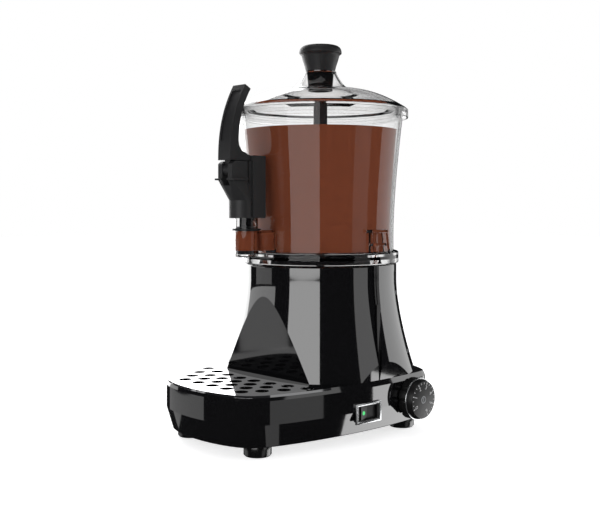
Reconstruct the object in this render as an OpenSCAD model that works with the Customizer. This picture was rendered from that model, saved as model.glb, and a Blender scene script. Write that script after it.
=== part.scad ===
// Hot chocolate dispenser: a heated stand, a clear lift-off bowl with an agitator,
// a piston tap with a pull lever, and a drip tray with a perforated grid.
// Millimetres, +Z up, front of the machine towards -Y, controls on the +X side.
// Every sub-part is drawn round the bowl's axis and then moved by at_origin(), which puts
// the middle of the machine's footprint, dial included, at X = 0 and Y = 0.

/* [Base] */
// Distance from the bowl's axis to the front of the base
base_front = 197; // [180:1:215]
// Distance from the bowl's axis to the back of the base
base_rear = 105; // [100:1:125]
// Half of the base's width at its widest place
base_half_w = 111; // [108:1:125]
// Radius of the curved front wall
front_arc_r = 178; // [150:1:260]
// Radius of the two gently curved side walls
side_arc_r = 560; // [450:10:900]
// Radius of the curved rear wall
rear_arc_r = 192; // [150:1:300]
// How sharp the two front corners are
front_sharpness = 18; // [12:1:40]
// How sharp the two rear corners are
rear_sharpness = 50; // [16:1:70]
// Height of the deck above the counter
deck_z = 67.8; // [62:0.1:80]
// Height at which the side wall starts to draw in towards the counter
skirt_z = 37; // [30:0.5:42]
// How far the wall draws in at the bottom
skirt_inset = 7; // [3:0.5:10]
// Height of the sloping band between side wall and deck
shoulder_h = 5.8; // [3:0.1:8]
// How far that band leans in
shoulder_inset = 2.5; // [1:0.1:5]
// Wall thickness of the moulded housing
shell_t = 3; // [2.5:0.1:3.6]

/* [Column] */
// Height of the column's top face, on which the bowl stands
column_top_z = 196; // [188:1:210]
// Radius of the column's neck
neck_r = 92.4; // [90:0.1:94]
// Height at which the column starts to flare out
flare_start_z = 175; // [160:1:182]
// How much wider the column is at the deck than at its neck
flare_w = 21.6; // [14:0.1:24]
// Radius of the column's rounded top edge
top_edge_r = 3; // [1:0.5:4]
// Distance of the flat front panel ahead of the bowl's axis, at its top
panel_top_y = 94; // [92.6:0.1:96]
// Distance of the flat front panel ahead of the bowl's axis, at the deck
panel_low_y = 89.5; // [86:0.5:94]
// Width of the side grooves at the top
groove_w = 18; // [10:0.5:20]
// Depth of the side grooves
groove_depth = 5; // [2:0.5:6]
// Angle from the side at which the rear cover begins
cover_angle = 25; // [22:1:34]

/* [Feet] */
// Radius of a rubber foot
foot_r = 15; // [11:0.5:17]
// Height of a rubber foot
foot_h = 12; // [8:0.5:14]
// Distance of the front feet from the middle
front_foot_x = 57.5; // [50:0.5:62]
// Distance of the front feet ahead of the bowl's axis
front_foot_y = 154; // [145:0.5:160]
// Distance of the rear feet from the middle
rear_foot_x = 82; // [70:0.5:84]
// Distance of the rear feet behind the bowl's axis
rear_foot_y = 55; // [45:0.5:58]

/* [Drip tray] */
// Thickness of the perforated grid
grid_t = 2.5; // [1.5:0.1:4]
// Radius of one hole in the grid
grid_hole_r = 7.5; // [5:0.1:8.5]
// Distance between neighbouring holes in a row
grid_pitch = 24.2; // [20:0.1:28]
// Distance between rows of holes
grid_row_pitch = 16.5; // [15:0.1:18]
// Holes in the front row; each row behind it has one more
grid_front_holes = 5; // [3:1:6]
// Rows of holes
grid_rows = 4; // [2:1:4]
// Radius of the curved rear edge of the grid
grid_rear_r = 280; // [200:5:400]
// Distance of that edge ahead of the bowl's axis, at the middle
grid_rear_y = 105; // [98:0.5:110]
// Distance from that edge to the middle of the last row of holes
grid_row_margin = 14.5; // [10:0.5:18]
// Depth of the tray below the grid
tray_depth = 32; // [20:1:38]
// Wall thickness of the tray
tray_t = 2; // [1.2:0.1:2.6]

/* [Bowl] */
// Radius of the bowl's waist, outside
waist_r = 89; // [80:0.5:89]
// How much wider the bowl is at its rim than at its waist
bowl_flare = 12; // [4:0.5:13]
// Height at which the bowl starts to widen
waist_z = 235; // [225:1:250]
// Height of the bowl's rim
bowl_rim_z = 378.5; // [340:0.5:390]
// Wall thickness of the bowl
bowl_t = 4; // [3:0.1:5]
// Radius of the foot flange that stands on the column
bowl_foot_r = 95; // [92:0.5:96]
// Height of the foot flange
bowl_foot_h = 15; // [12:0.5:18]

/* [Lid] */
// Radius of the lid, outside
lid_r = 106.7; // [106:0.1:110]
// Height of the lid's lower edge below the bowl's rim
lid_skirt_h = 7.5; // [5:0.5:12]
// Wall thickness of the lid
lid_t = 2.5; // [2:0.1:3]
// Height of the dome above the bowl's rim
dome_h = 26.5; // [20:0.5:32]
// Height of the central cone above the dome
cone_h = 22; // [15:0.5:26]
// Radius of the black collar inside the cone
collar_r = 16.5; // [13:0.5:17]
// Height of the knob above the cone
knob_h = 33; // [26:0.5:40]
// Largest radius of the knob
knob_r = 26; // [22:0.5:30]

/* [Tap] */
// Distance of the tap's axis ahead of the bowl's axis
tap_y = 119.7; // [118:0.1:121]
// Outside radius of the clear tap tube
tube_r = 13; // [12.6:0.1:13.6]
// Wall thickness of the tap tube
tube_t = 1.5; // [1.2:0.1:1.9]
// Height of the tube's lower edge
tube_bottom_z = 206.5; // [204:0.5:210]
// Radius of the outlet in the tube's floor
outlet_r = 8; // [6:0.1:8.5]
// Height of the lower edge of the black cap
cap_bottom_z = 250.6; // [248:0.1:254]
// Half width of the cap, which is also the radius of its round front
cap_half_w = 14.5; // [14:0.1:15.5]
// Width of the yoke, which carries the lever
yoke_w = 24; // [22:0.5:26]
// Height of the top of the yoke
yoke_top_z = 314.5; // [312:0.1:317]
// Distance from the tap's axis to the lever's pin
lever_arm = 24; // [23:0.1:25]
// Height of the lever's pin
lever_pin_z = 305; // [304:0.1:306]
// Radius of the lever's pin
lever_pin_r = 2.5; // [2:0.1:3]
// Height of the top of the lever
lever_top_z = 400.5; // [380:0.5:420]
// Width of the lever
lever_w = 21; // [19:0.5:24]

/* [Agitator and drive] */
// Radius of the drive shaft
shaft_r = 5; // [4:0.1:5.4]
// Height of the top of the drive shaft
shaft_top_z = 380; // [372:1:384]
// Gap between shaft, stand pipe and agitator sleeve
pipe_gap = 0.6; // [0.4:0.1:0.8]
// Wall thickness of the stand pipe
pipe_t = 1; // [0.8:0.1:1.2]
// Wall thickness of the agitator's sleeve
sleeve_t = 1.3; // [1:0.1:1.8]
// Reach of the agitator's paddles from the axis
paddle_r = 78; // [60:1:80]
// Height of the agitator's upright arms
arm_h = 90; // [50:1:110]

/* [Heating] */
// Radius of the water tank under the bowl
tank_r = 78; // [70:0.5:78]
// Depth of the water tank
tank_depth = 28; // [20:1:32]
// Sheet thickness of the tank
tank_t = 1.2; // [0.8:0.1:1.6]

/* [Controls] */
// Distance of the dial behind the bowl's axis
dial_y = 37; // [32:0.5:42]
// Height of the dial's centre
dial_z = 41; // [40:0.5:43]
// Radius of the dial's rim
dial_r = 24.5; // [20:0.1:25]
// Distance of the switch ahead of the bowl's axis
switch_y = 36.5; // [33:0.5:40]
// Height of the switch's centre
switch_z = 35; // [32:0.5:40]
// Length of the switch's frame
switch_l = 38.5; // [36:0.5:42]
// Height of the switch's frame
switch_h = 22.4; // [18:0.1:24]

/* [Hidden] */
$fn = 96;

// Clearances
slip = 0.3;                     // between parts that come apart by hand
run = 0.06;                     // round a turning shaft, on the radius
fit = 0.05;                     // round a screw or a pressed part, on the radius
cut = 1;                        // how far a cutting shape runs past the face it cuts

// Places worked out from the driving sizes
base_z = foot_h;
dial_face_x = base_half_w + 19;
origin_x = (dial_face_x - base_half_w) / 2;
origin_y = (base_rear - base_front) / 2;
grid_seat_z = deck_z - grid_t;
grid_arc_y = grid_rear_r - grid_rear_y;
side_arc_y = 10;
pan_t = 1.5;
bowl_base_z = column_top_z;
waist_in_r = waist_r - bowl_t;
lid_rim_z = bowl_rim_z + lid_t;
dome_z = bowl_rim_z + dome_h;
cone_z = dome_z + cone_h;
knob_z = cone_z + knob_h;
piston_rod_r = 3.5;
nose_drop = 8;
nose_r = 2.6;
nose_z = lever_pin_z - nose_drop;
pin_y = tap_y + lever_arm;
sleeve_in_r = shaft_r + 2 * pipe_gap + pipe_t;
sleeve_r = sleeve_in_r + sleeve_t;

module at_origin() { translate([-origin_x, -origin_y, 0]) children(); }

// ---------- outline of the base ----------
// Reach of a ray from the middle of the base, at angle a, to a circle of radius r at [cx, cy]
function reach(a, cx, cy, r) =
    let (along = cx * cos(a) + cy * sin(a))
    along + sqrt(along * along - cx * cx - cy * cy + r * r);

// The four walls blended at their corners; inset moves every wall inwards
function base_reach(a, inset) =
    let (front = reach(a, 0, front_arc_r - base_front - origin_y, front_arc_r - inset),
         right = reach(a, base_half_w - side_arc_r, side_arc_y - origin_y, side_arc_r - inset),
         left = reach(a, side_arc_r - base_half_w, side_arc_y - origin_y, side_arc_r - inset),
         rear = reach(a, 0, base_rear - rear_arc_r - origin_y, rear_arc_r - inset),
         p = sin(a) > 0 ? rear_sharpness : front_sharpness)
    pow(pow(front, -p) + pow(right, -p) + pow(left, -p) + pow(rear, -p), -1 / p);

module base_outline(inset = 0, step = 5) {
    polygon([for (a = [0:step:359])
        [base_reach(a, inset) * cos(a), origin_y + base_reach(a, inset) * sin(a)]]);
}

module base_slab(z, h, inset = 0) {
    translate([0, 0, z]) linear_extrude(h) base_outline(inset);
}

// The base as a solid block, drawn in by inset on its sides and top
module base_block(inset = 0) {
    thin = 0.01;
    hull() {
        base_slab(base_z, thin, skirt_inset + inset);
        base_slab(skirt_z, thin, inset);
    }
    base_slab(skirt_z, deck_z - shoulder_h - skirt_z, inset);
    hull() {
        base_slab(deck_z - shoulder_h - thin, thin, inset);
        base_slab(deck_z - inset - thin, thin, shoulder_inset + inset);
    }
}

// ---------- outline of the column ----------
function column_r(z) =
    let (t = max(0, (flare_start_z - z) / (flare_start_z - deck_z)))
    neck_r + flare_w * pow(t, 1.55);

// The column as a turned solid, drawn in by inset on its side and top
module column_turned(inset = 0) {
    steps = 12;
    top = column_top_z - inset;
    round_r = max(0.5, top_edge_r - inset);
    low = deck_z - shell_t - cut;
    rotate_extrude() polygon(concat(
        [[0, low]],
        [for (i = [0:steps])
            let (z = low + i * (top - round_r - low) / steps) [column_r(z) - inset, z]],
        [for (a = [15:15:90])
            [neck_r - inset - round_r * (1 - cos(a)), top - round_r * (1 - sin(a))]],
        [[0, top]]));
}

module column_block(inset = 0) {
    intersection() {
        column_turned(inset);
        base_slab(base_z, column_top_z, shoulder_inset + inset);
    }
}

// Everything ahead of the flat panel in the column's front, moved back by inset
module front_panel_cut(inset = 0) {
    panel_top_z = 172;
    ahead = -base_front;
    rotate([90, 0, 90]) translate([0, 0, -base_half_w]) linear_extrude(2 * base_half_w) polygon([
        [ahead, deck_z - inset], [inset - panel_low_y, deck_z - inset],
        [inset - panel_top_y, panel_top_z], [ahead, panel_top_z]
    ]);
}

// A groove down each side of the column, wide at the top and closing almost to a point at the deck
module side_grooves(grow = 0) {
    front_y = -16;
    narrow_z = 150;
    low_w = 2;
    difference() {
        rotate([90, 0, 90]) translate([0, 0, -base_half_w - cut])
            linear_extrude(2 * (base_half_w + cut)) polygon([
                [front_y - grow, column_top_z + cut],
                [front_y - grow, deck_z],
                [front_y + low_w + grow, deck_z],
                [front_y + groove_w + grow, narrow_z],
                [front_y + groove_w + grow, column_top_z + cut]
            ]);
        column_turned(groove_depth + grow);
        cylinder(r = neck_r - groove_depth - grow, h = column_top_z + 2 * cut);
    }
}

// Wedge of space behind the column that the rear cover takes up
module cover_wedge(gap = 0) {
    reach_out = base_half_w * 2;
    top = column_top_z - 9;
    translate([0, 0, deck_z + gap]) linear_extrude(top - deck_z - 2 * gap) polygon([
        [0, gap / cos(cover_angle)],
        [reach_out, reach_out * tan(cover_angle) + gap / cos(cover_angle)],
        [0, reach_out * 2],
        [-reach_out, reach_out * tan(cover_angle) + gap / cos(cover_angle)]
    ]);
}

// A rounded box centred on X and Y, standing on Z = 0
module round_box(size, r) {
    linear_extrude(size[2]) union() {
        square([size[0] - 2 * r, size[1]], center = true);
        square([size[0], size[1] - 2 * r], center = true);
        for (x = [-1, 1], y = [-1, 1])
            translate([x * (size[0] / 2 - r), y * (size[1] / 2 - r)]) circle(r, $fn = 32);
    }
}

// ---------- stand ----------
// Places of the four feet, front pair first
foot_places = [
    [-front_foot_x, -front_foot_y], [front_foot_x, -front_foot_y],
    [-rear_foot_x, rear_foot_y], [rear_foot_x, rear_foot_y]
];
tank_mouth_r = tank_r + 1;
flange_w = 8;
wall_x = base_half_w;
switch_tilt = -asin((switch_y + side_arc_y) / side_arc_r);
switch_x = base_half_w - side_arc_r + sqrt(pow(side_arc_r, 2) - pow(switch_y + side_arc_y, 2));
switch_body_l = switch_l - 5;
switch_body_h = switch_h - 4;
gland_x = -60;
gland_z = 34;
gland_r = 8;
gland_bore_r = 4;
gland_flange_r = gland_r + 4;
gland_seat = 4;                 // face that the gland's flange bears on, outside the wall's middle
gland_grip = 9.6;               // face that its nut bears on, inside it
gland_nut_h = 3.4;
foot_boss_h = 6;
foot_screw_r = 2.5;
foot_screw_head_r = 5;
foot_seat_h = 4;
gland_y = base_rear - rear_arc_r + sqrt(pow(rear_arc_r, 2) - gland_x * gland_x);
dial_bush_r = 6;
spindle_r = 3;
cover_screw_r = 1.8;
cover_screw_rise = 22;
cover_screw_drop = 8;
cover_screw_z = [deck_z + cover_screw_rise, column_top_z - tank_depth - cover_screw_drop];
cover_lip = 14;
cover_head_r = 3.2;
cover_head_seat = 1.6;
cover_screw_l = 9;
wall_run = 40;                  // length of a cutter that goes through a side wall

module at_switch() {
    translate([switch_x, -switch_y, switch_z]) rotate([0, 0, switch_tilt]) children();
}

grid_edge_inset = shoulder_inset - 1.2;
tray_shelf_w = 3;
tray_inset = shell_t + tray_shelf_w;
tray_flange_t = 2.2;
tray_ring_h = 5;

// The base moulding is given in pieces: walls up to this height, parted at the corners
wall_top_z = grid_seat_z - tray_ring_h;
wall_reach = base_front;
wall_front_a = 46;
wall_rear_a = 52;
rim_y = grid_rear_y + tray_inset + tray_shelf_w + 2;

// The opening in the front deck, drawn in by inset from the wall and from the rear edge
module tray_outline(inset) {
    difference() {
        base_outline(inset);
        translate([0, grid_arc_y]) circle(r = grid_rear_r + inset - shell_t);
    }
}

// Origin on the seat of each cover screw's head, with Z pointing outwards
module at_cover_screws() {
    for (side = [-1, 1], z = cover_screw_z)
        rotate([0, 0, 90 - side * (90 - cover_angle - 6)])
            translate([column_r(z) - cover_head_seat, 0, z]) rotate([0, 90, 0]) children();
}

// Origin in the middle of the rear wall where the gland goes through, with Z pointing outwards
module at_gland() {
    translate([gland_x, gland_y, gland_z]) rotate([-90, 0, 0]) children();
}

// Room inside the column, open to the base below
module column_room() {
    difference() {
        column_block(shell_t);
        front_panel_cut(shell_t);
        side_grooves(shell_t);
    }
}

// The base moulding with its deck, seat for the grid and ring round the tray's hole
module base_moulding() {
    difference() {
        base_block();
        // room inside, open below and up into the column
        difference() {
            base_block(shell_t);
            translate([0, 0, deck_z - shell_t]) cylinder(r = 2 * base_front, h = shell_t);
        }
        translate([0, 0, base_z - cut]) linear_extrude(2 * cut)
            base_outline(skirt_inset + shell_t);
        column_room();
        // seat for the grid
        difference() {
            translate([0, 0, grid_seat_z]) linear_extrude(grid_t + cut)
                base_outline(grid_edge_inset);
            translate([0, grid_arc_y, 0]) cylinder(r = grid_rear_r, h = deck_z + 2 * cut, $fn = 180);
        }
        // hole for the tray
        translate([0, 0, grid_seat_z - 2 * shell_t]) linear_extrude(4 * shell_t)
            tray_outline(tray_inset);
    }
    // ring round the tray's hole: the grid lies on it, the tray's flange in its step
    translate([0, 0, grid_seat_z - tray_ring_h]) {
        linear_extrude(tray_ring_h) difference() {
            tray_outline(shell_t - slip);
            tray_outline(tray_inset);
        }
        linear_extrude(tray_ring_h - tray_flange_t) difference() {
            tray_outline(tray_inset - slip);
            tray_outline(tray_inset + tray_shelf_w);
        }
    }
}

// Dial bush and switch
module side_holes() {
    translate([wall_x - wall_run / 2, dial_y, dial_z]) rotate([0, 90, 0])
        cylinder(r = dial_bush_r + slip, h = wall_run);
    at_switch() translate([-wall_run / 2, -switch_body_l / 2 - slip, -switch_body_h / 2 - slip])
        cube([wall_run, switch_body_l + 2 * slip, switch_body_h + 2 * slip]);
}

// Wedge about the middle of the base, up to the height where the deck pieces start
module wall_wedge(from, to) {
    translate([0, origin_y, base_z - cut]) linear_extrude(wall_top_z - base_z + cut) polygon([
        [0, 0], wall_reach * [cos(from), sin(from)],
        1.5 * wall_reach * [cos((from + to) / 2), sin((from + to) / 2)],
        wall_reach * [cos(to), sin(to)]]);
}

// Wall of the base moulding below its deck, between two angles about the middle of the base
module base_wall(from, to) {
    difference() {
        intersection() {
            base_block();
            wall_wedge(from, to);
        }
        base_block(shell_t);
        translate([0, 0, base_z - cut]) linear_extrude(2 * cut)
            base_outline(skirt_inset + shell_t);
    }
}

// Part of the base moulding's deck, ahead of the line where the tray's hole starts or behind it
module base_deck_part(low_y, high_y) {
    at_origin() color("#111112") intersection() {
        base_moulding();
        translate([-base_front, low_y, wall_top_z])
            cube([2 * base_front, high_y - low_y, base_front]);
    }
}

module base_shell_front() {
    at_origin() color("#111112") base_wall(180 + wall_front_a, 360 - wall_front_a);
}

module base_shell_left() {
    at_origin() color("#111112") base_wall(180 - wall_rear_a, 180 + wall_front_a);
}

// Wall with the holes for the dial's bush and the switch
module base_shell_right() {
    at_origin() color("#111112") difference() {
        base_wall(-wall_front_a, wall_rear_a);
        side_holes();
    }
}

// Wall with the boss that holds the cable gland square, where it slants
module base_shell_rear() {
    at_origin() color("#111112") difference() {
        union() {
            base_wall(wall_rear_a, 180 - wall_rear_a);
            at_gland() translate([0, 0, -gland_grip])
                cylinder(r = gland_flange_r + 1.5, h = gland_grip + gland_seat);
        }
        at_gland() cylinder(r = gland_r + slip, h = wall_run, center = true);
    }
}

module base_deck() { base_deck_part(-rim_y, base_front); }
module base_rim() { base_deck_part(-2 * base_front, -rim_y); }

// The column moulding, which stands on the deck round the hole in it
module column_shell() {
    at_origin() color("#121213") difference() {
        union() {
            difference() {
                column_block();
                front_panel_cut();
                side_grooves();
                column_room();
            }
            // ledge behind the rear cover's edges, for its screws
            intersection() {
                difference() {
                    column_block(shell_t - slip);
                    column_block(shell_t + 4);
                }
                difference() {
                    cover_wedge(-shell_t);
                    translate([0, cover_lip, 0]) cover_wedge(0);
                }
            }
        }
        cylinder(r = 2 * base_front, h = deck_z);
        // opening closed by the rear cover
        difference() {
            cover_wedge();
            column_block(shell_t + slip);
        }
        at_cover_screws() translate([0, 0, -cover_screw_l])
            cylinder(r = cover_screw_r + fit, h = cover_screw_l, $fn = 24);
        // room for the water tank, up through the top face
        translate([0, 0, deck_z]) cylinder(r = tank_mouth_r, h = column_top_z);
        translate([0, 0, column_top_z - tank_t]) cylinder(r = tank_r + flange_w + slip, h = shell_t);
    }
}

module rear_cover() {
    at_origin() color("#151517") difference() {
        intersection() {
            difference() {
                column_block();
                column_block(shell_t);
            }
            cover_wedge(slip);
        }
        at_cover_screws() {
            translate([0, 0, -shell_t]) cylinder(r = cover_screw_r + slip, h = 2 * shell_t, $fn = 24);
            cylinder(r = cover_head_r + slip, h = 2 * shell_t, $fn = 24);
        }
    }
}

module cover_screws() {
    at_origin() color("#4a4a4c") at_cover_screws() {
        translate([0, 0, -cover_screw_l + 1]) cylinder(r = cover_screw_r, h = cover_screw_l - 1, $fn = 24);
        cylinder(r = cover_head_r, h = 1.4, $fn = 24);
    }
}

module base_pan() {
    vent_w = 4;
    vent_l = 46;
    vent_pitch = 10;
    at_origin() color("#8a8c8e") difference() {
        union() {
            base_slab(base_z, pan_t, skirt_inset + shell_t + slip);
            for (p = foot_places) translate([p[0], p[1], base_z + pan_t]) cylinder(r = 6, h = foot_boss_h);
        }
        for (p = foot_places) translate([p[0], p[1], base_z - cut])
            cylinder(r = foot_screw_r + fit, h = foot_boss_h + pan_t + 2 * cut, $fn = 24);
        for (i = [-3:3]) translate([i * vent_pitch - vent_w / 2, -vent_l / 2 - 70, base_z - cut])
            cube([vent_w, vent_l, pan_t + 2 * cut]);
    }
}

module feet() {
    chamfer = 1.5;
    at_origin() color("#0c0c0c") for (p = foot_places) translate([p[0], p[1], 0])
        rotate_extrude() polygon([
            [foot_screw_head_r + slip, 0], [foot_r - chamfer, 0], [foot_r, chamfer], [foot_r, foot_h],
            [foot_screw_r + fit, foot_h], [foot_screw_r + fit, foot_seat_h],
            [foot_screw_head_r + slip, foot_seat_h]
        ]);
}

module foot_screws() {
    at_origin() color("#9a9c9e") for (p = foot_places) translate([p[0], p[1], foot_seat_h]) {
        translate([0, 0, -2.2]) cylinder(r = foot_screw_head_r, h = 2.2, $fn = 32);
        cylinder(r = foot_screw_r, h = foot_h - foot_seat_h + pan_t + foot_boss_h, $fn = 24);
    }
}

// ---------- heating ----------
tank_floor_z = column_top_z - tank_depth;
bush_wall = 3.35;
chimney_r = shaft_r + run + bush_wall;
chimney_drop = 3;
ring_r = tank_r - 22;
ring_tube_r = 4;

module water_tank() {
    at_origin() color("#c9cbcd") rotate_extrude() polygon([
        [chimney_r, tank_floor_z - tank_t],
        [tank_r, tank_floor_z - tank_t],
        [tank_r, column_top_z - tank_t],
        [tank_r + flange_w, column_top_z - tank_t],
        [tank_r + flange_w, column_top_z],
        [tank_r - tank_t, column_top_z],
        [tank_r - tank_t, tank_floor_z],
        [chimney_r + tank_t, tank_floor_z],
        [chimney_r + tank_t, column_top_z - chimney_drop],
        [chimney_r, column_top_z - chimney_drop]
    ]);
}

// A ring under the tank, with a cold lead going down on each side of its middle
module heating_element() {
    lead_r = 2.5;
    lead_h = 10;
    lead_x = 9;
    lead_y = sqrt(ring_r * ring_r - lead_x * lead_x);
    at_origin() color("#6d6a66") translate([0, 0, tank_floor_z - tank_t - ring_tube_r]) {
        rotate_extrude() translate([ring_r, 0]) circle(r = ring_tube_r, $fn = 48);
        for (x = [-lead_x, lead_x]) translate([x, lead_y, -lead_h])
            cylinder(r = lead_r, h = lead_h, $fn = 32);
    }
}

// A disc thermostat that cuts the current if the tank boils dry
module thermal_cutout() {
    flange_t = 3;
    body_h = 9;
    tab_h = 7;
    tab_t = 0.8;
    at_origin() color("#b9b2a4") translate([-30, 0, tank_floor_z - tank_t - flange_t]) {
        cylinder(r = 11, h = flange_t);
        translate([0, 0, -body_h]) cylinder(r = 8, h = body_h);
        for (y = [-4, 4]) translate([-1.5, y - tab_t / 2, -body_h - tab_h]) cube([3, tab_t, tab_h]);
    }
}

module shaft_bush() {
    flange_t = 2;
    low = tank_floor_z - tank_t - flange_t;
    top = column_top_z - chimney_drop;
    at_origin() color("#e6e2d8") difference() {
        union() {
            translate([0, 0, low]) cylinder(r = chimney_r - fit, h = top - low);
            translate([0, 0, low]) cylinder(r = chimney_r + 3, h = flange_t);
        }
        translate([0, 0, low - cut]) cylinder(r = shaft_r + run, h = top - low + 2 * cut);
    }
}

// ---------- motor and drive ----------
gearbox_l = 84;
gearbox_w = 60;
gearbox_h = 30;
gearbox_top_z = tank_floor_z - 26;
gearbox_y = 14;
plate_t = 2.5;
motor_r = 24;
motor_l = 56;
motor_y = 26;
post_x = 46;
post_y = 44;
post_r = 4;
post_low_y = -34;
bolt_r = 2;
bolt_x = gearbox_w / 2 - 7;

// Origin on the top of each post that carries the motor bracket
module at_posts() {
    for (x = [-post_x, post_x], y = [post_low_y, post_y]) translate([x, y, gearbox_top_z]) children();
}

// Origin on the bracket's top face over each gearbox bolt
module at_bolts() {
    for (x = [-bolt_x, bolt_x], y = [gearbox_y - gearbox_l / 2 + 8, gearbox_y + gearbox_l / 2 - 8])
        translate([x, y, gearbox_top_z + plate_t]) children();
}

module motor_bracket() {
    at_origin() color("#9da0a2") difference() {
        translate([0, (post_y + post_low_y) / 2, gearbox_top_z])
            round_box([2 * post_x + 14, post_y - post_low_y + 14, plate_t], 5);
        translate([0, 0, gearbox_top_z - cut]) cylinder(r = shaft_r + 4, h = plate_t + 2 * cut);
        at_posts() translate([0, 0, -cut]) cylinder(r = bolt_r + fit, h = plate_t + 2 * cut, $fn = 24);
        at_bolts() translate([0, 0, -plate_t - cut])
            cylinder(r = bolt_r + fit, h = plate_t + 2 * cut, $fn = 24);
    }
}

module bracket_posts() {
    foot_z = base_z + pan_t;
    at_origin() color("#b4b6b8") at_posts() difference() {
        translate([0, 0, foot_z - gearbox_top_z]) union() {
            cylinder(r = post_r, h = gearbox_top_z - foot_z, $fn = 48);
            cylinder(r = post_r + 3, h = 2, $fn = 48);
        }
        translate([0, 0, -10]) cylinder(r = bolt_r + fit, h = 10 + cut, $fn = 24);
    }
}

module gearbox() {
    rib_w = 6;
    rib_h = gearbox_h - 12;
    at_origin() color("#5b5e61") difference() {
        union() {
            translate([0, gearbox_y, gearbox_top_z - gearbox_h])
                round_box([gearbox_w, gearbox_l, gearbox_h], 8);
            // a cast rib across each half of the housing
            for (y = [-20, 20]) translate([-gearbox_w / 2 - 3, gearbox_y + y, gearbox_top_z - gearbox_h + 6])
                cube([gearbox_w + 6, rib_w, rib_h]);
        }
        translate([0, 0, gearbox_top_z - 22]) cylinder(r = shaft_r + run, h = 22 + cut);
        at_bolts() translate([0, 0, -plate_t - 12]) cylinder(r = bolt_r + fit, h = 12 + cut, $fn = 24);
    }
}

module motor() {
    at_origin() color("#a7a9ab") translate([0, motor_y, gearbox_top_z - gearbox_h]) {
        translate([0, 0, -motor_l]) cylinder(r = motor_r, h = motor_l);
        translate([0, 0, -motor_l - 5]) cylinder(r = 7, h = 5);
        for (x = [-10, 10]) translate([x - 1.5, 14, -motor_l - 7]) cube([3, 0.8, 7]);
    }
}

module motor_screws() {
    head_h = 1.8;
    at_origin() color("#d0d2d4") {
        at_posts() {
            translate([0, 0, plate_t]) cylinder(r = 2 * bolt_r, h = head_h, $fn = 32);
            translate([0, 0, -8]) cylinder(r = bolt_r, h = 8 + plate_t, $fn = 24);
        }
        at_bolts() {
            cylinder(r = 2 * bolt_r, h = head_h, $fn = 32);
            translate([0, 0, -plate_t - 10]) cylinder(r = bolt_r, h = 10 + plate_t, $fn = 24);
        }
    }
}

// The top of the shaft has two flats that carry the agitator round
flat_h = 12;
flat_w = shaft_r * 1.6;

module shaft_end(grow) {
    intersection() {
        cylinder(r = shaft_r + grow, h = flat_h + grow);
        translate([-flat_w / 2 - grow, -shaft_r * 2, 0])
            cube([flat_w + 2 * grow, shaft_r * 4, flat_h + grow]);
    }
}

module drive_shaft() {
    low = gearbox_top_z - 20;
    at_origin() color("#d6d8da") {
        translate([0, 0, low]) cylinder(r = shaft_r, h = shaft_top_z - flat_h - low);
        translate([0, 0, shaft_top_z - flat_h]) shaft_end(0);
    }
}

// ---------- electrics ----------
thermostat_x = wall_x - shell_t - 6;
spindle_back = 8;
spindle_grip = 12;

module thermostat() {
    case_r = 0.74 * dial_r;
    case_l = 24;
    ear_l = 1.8 * dial_r;
    ear_w = 0.74 * dial_r;
    ear_t = 2;
    bush_l = 8 + shell_t;
    at_origin() color("#c7bda6") translate([thermostat_x, dial_y, dial_z]) rotate([0, 90, 0]) difference() {
        union() {
            translate([0, 0, -ear_t - case_l]) cylinder(r = case_r, h = case_l);
            translate([-ear_w / 2, -ear_l / 2, -ear_t]) cube([ear_w, ear_l, ear_t]);
            cylinder(r = dial_bush_r, h = bush_l);
        }
        translate([0, 0, -spindle_back - 2])
            cylinder(r = spindle_r + run, h = spindle_back + 2 + bush_l + cut, $fn = 48);
    }
}

module thermostat_bulb() {
    // a copper bulb on the underside of the tank, held by its clip
    bulb_r = 3;
    bulb_l = 40;
    bulb_z = tank_floor_z - tank_t - bulb_r;
    at_origin() color("#b87548") translate([-bulb_l / 2, -30, bulb_z]) {
        rotate([0, 90, 0]) cylinder(r = bulb_r, h = bulb_l, $fn = 48);
        translate([bulb_l / 2 - 4, -6, bulb_r - 1]) cube([8, 12, 1]);
    }
}

module terminal_block() {
    ways = 4;
    pitch = 12;
    block_w = 22;
    block_h = 16;
    place = [36 - wall_x, 20, base_z + pan_t];
    at_origin() color("#e9e6dd") translate(place) difference() {
        cube([block_w, pitch * ways, block_h]);
        for (i = [0:ways - 1]) {
            y = pitch * (i + 0.5);
            translate([-cut, y, block_h / 2]) rotate([0, 90, 0])
                cylinder(r = 2.4, h = block_w + 2 * cut, $fn = 32);
            for (x = [block_w / 2 - 5, block_w / 2 + 5]) translate([x, y, block_h / 2 + 2])
                cylinder(r = 2, h = block_h / 2 - 2 + cut, $fn = 32);
        }
    }
}

module cable_gland() {
    flange_t = 3;
    cone_l = 2.2;
    bore_l = 4 * gland_grip;
    thread_low = -gland_grip - gland_nut_h - 1;
    at_origin() color("#161616") at_gland() difference() {
        union() {
            translate([0, 0, gland_seat]) cylinder(r = gland_flange_r, h = flange_t);
            translate([0, 0, gland_seat + flange_t])
                cylinder(r1 = gland_flange_r - 1, r2 = gland_r, h = cone_l);
            translate([0, 0, thread_low]) cylinder(r = gland_r, h = gland_seat + 1 - thread_low);
            translate([0, 0, -gland_grip - gland_nut_h])
                cylinder(r = gland_flange_r, h = gland_nut_h, $fn = 6);
        }
        cylinder(r = gland_bore_r, h = bore_l, center = true, $fn = 48);
    }
}

// ---------- dial and switch ----------
dial_back_x = wall_x + 1.4;
dial_skirt = 9;
dial_flange = 2.2;

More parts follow.
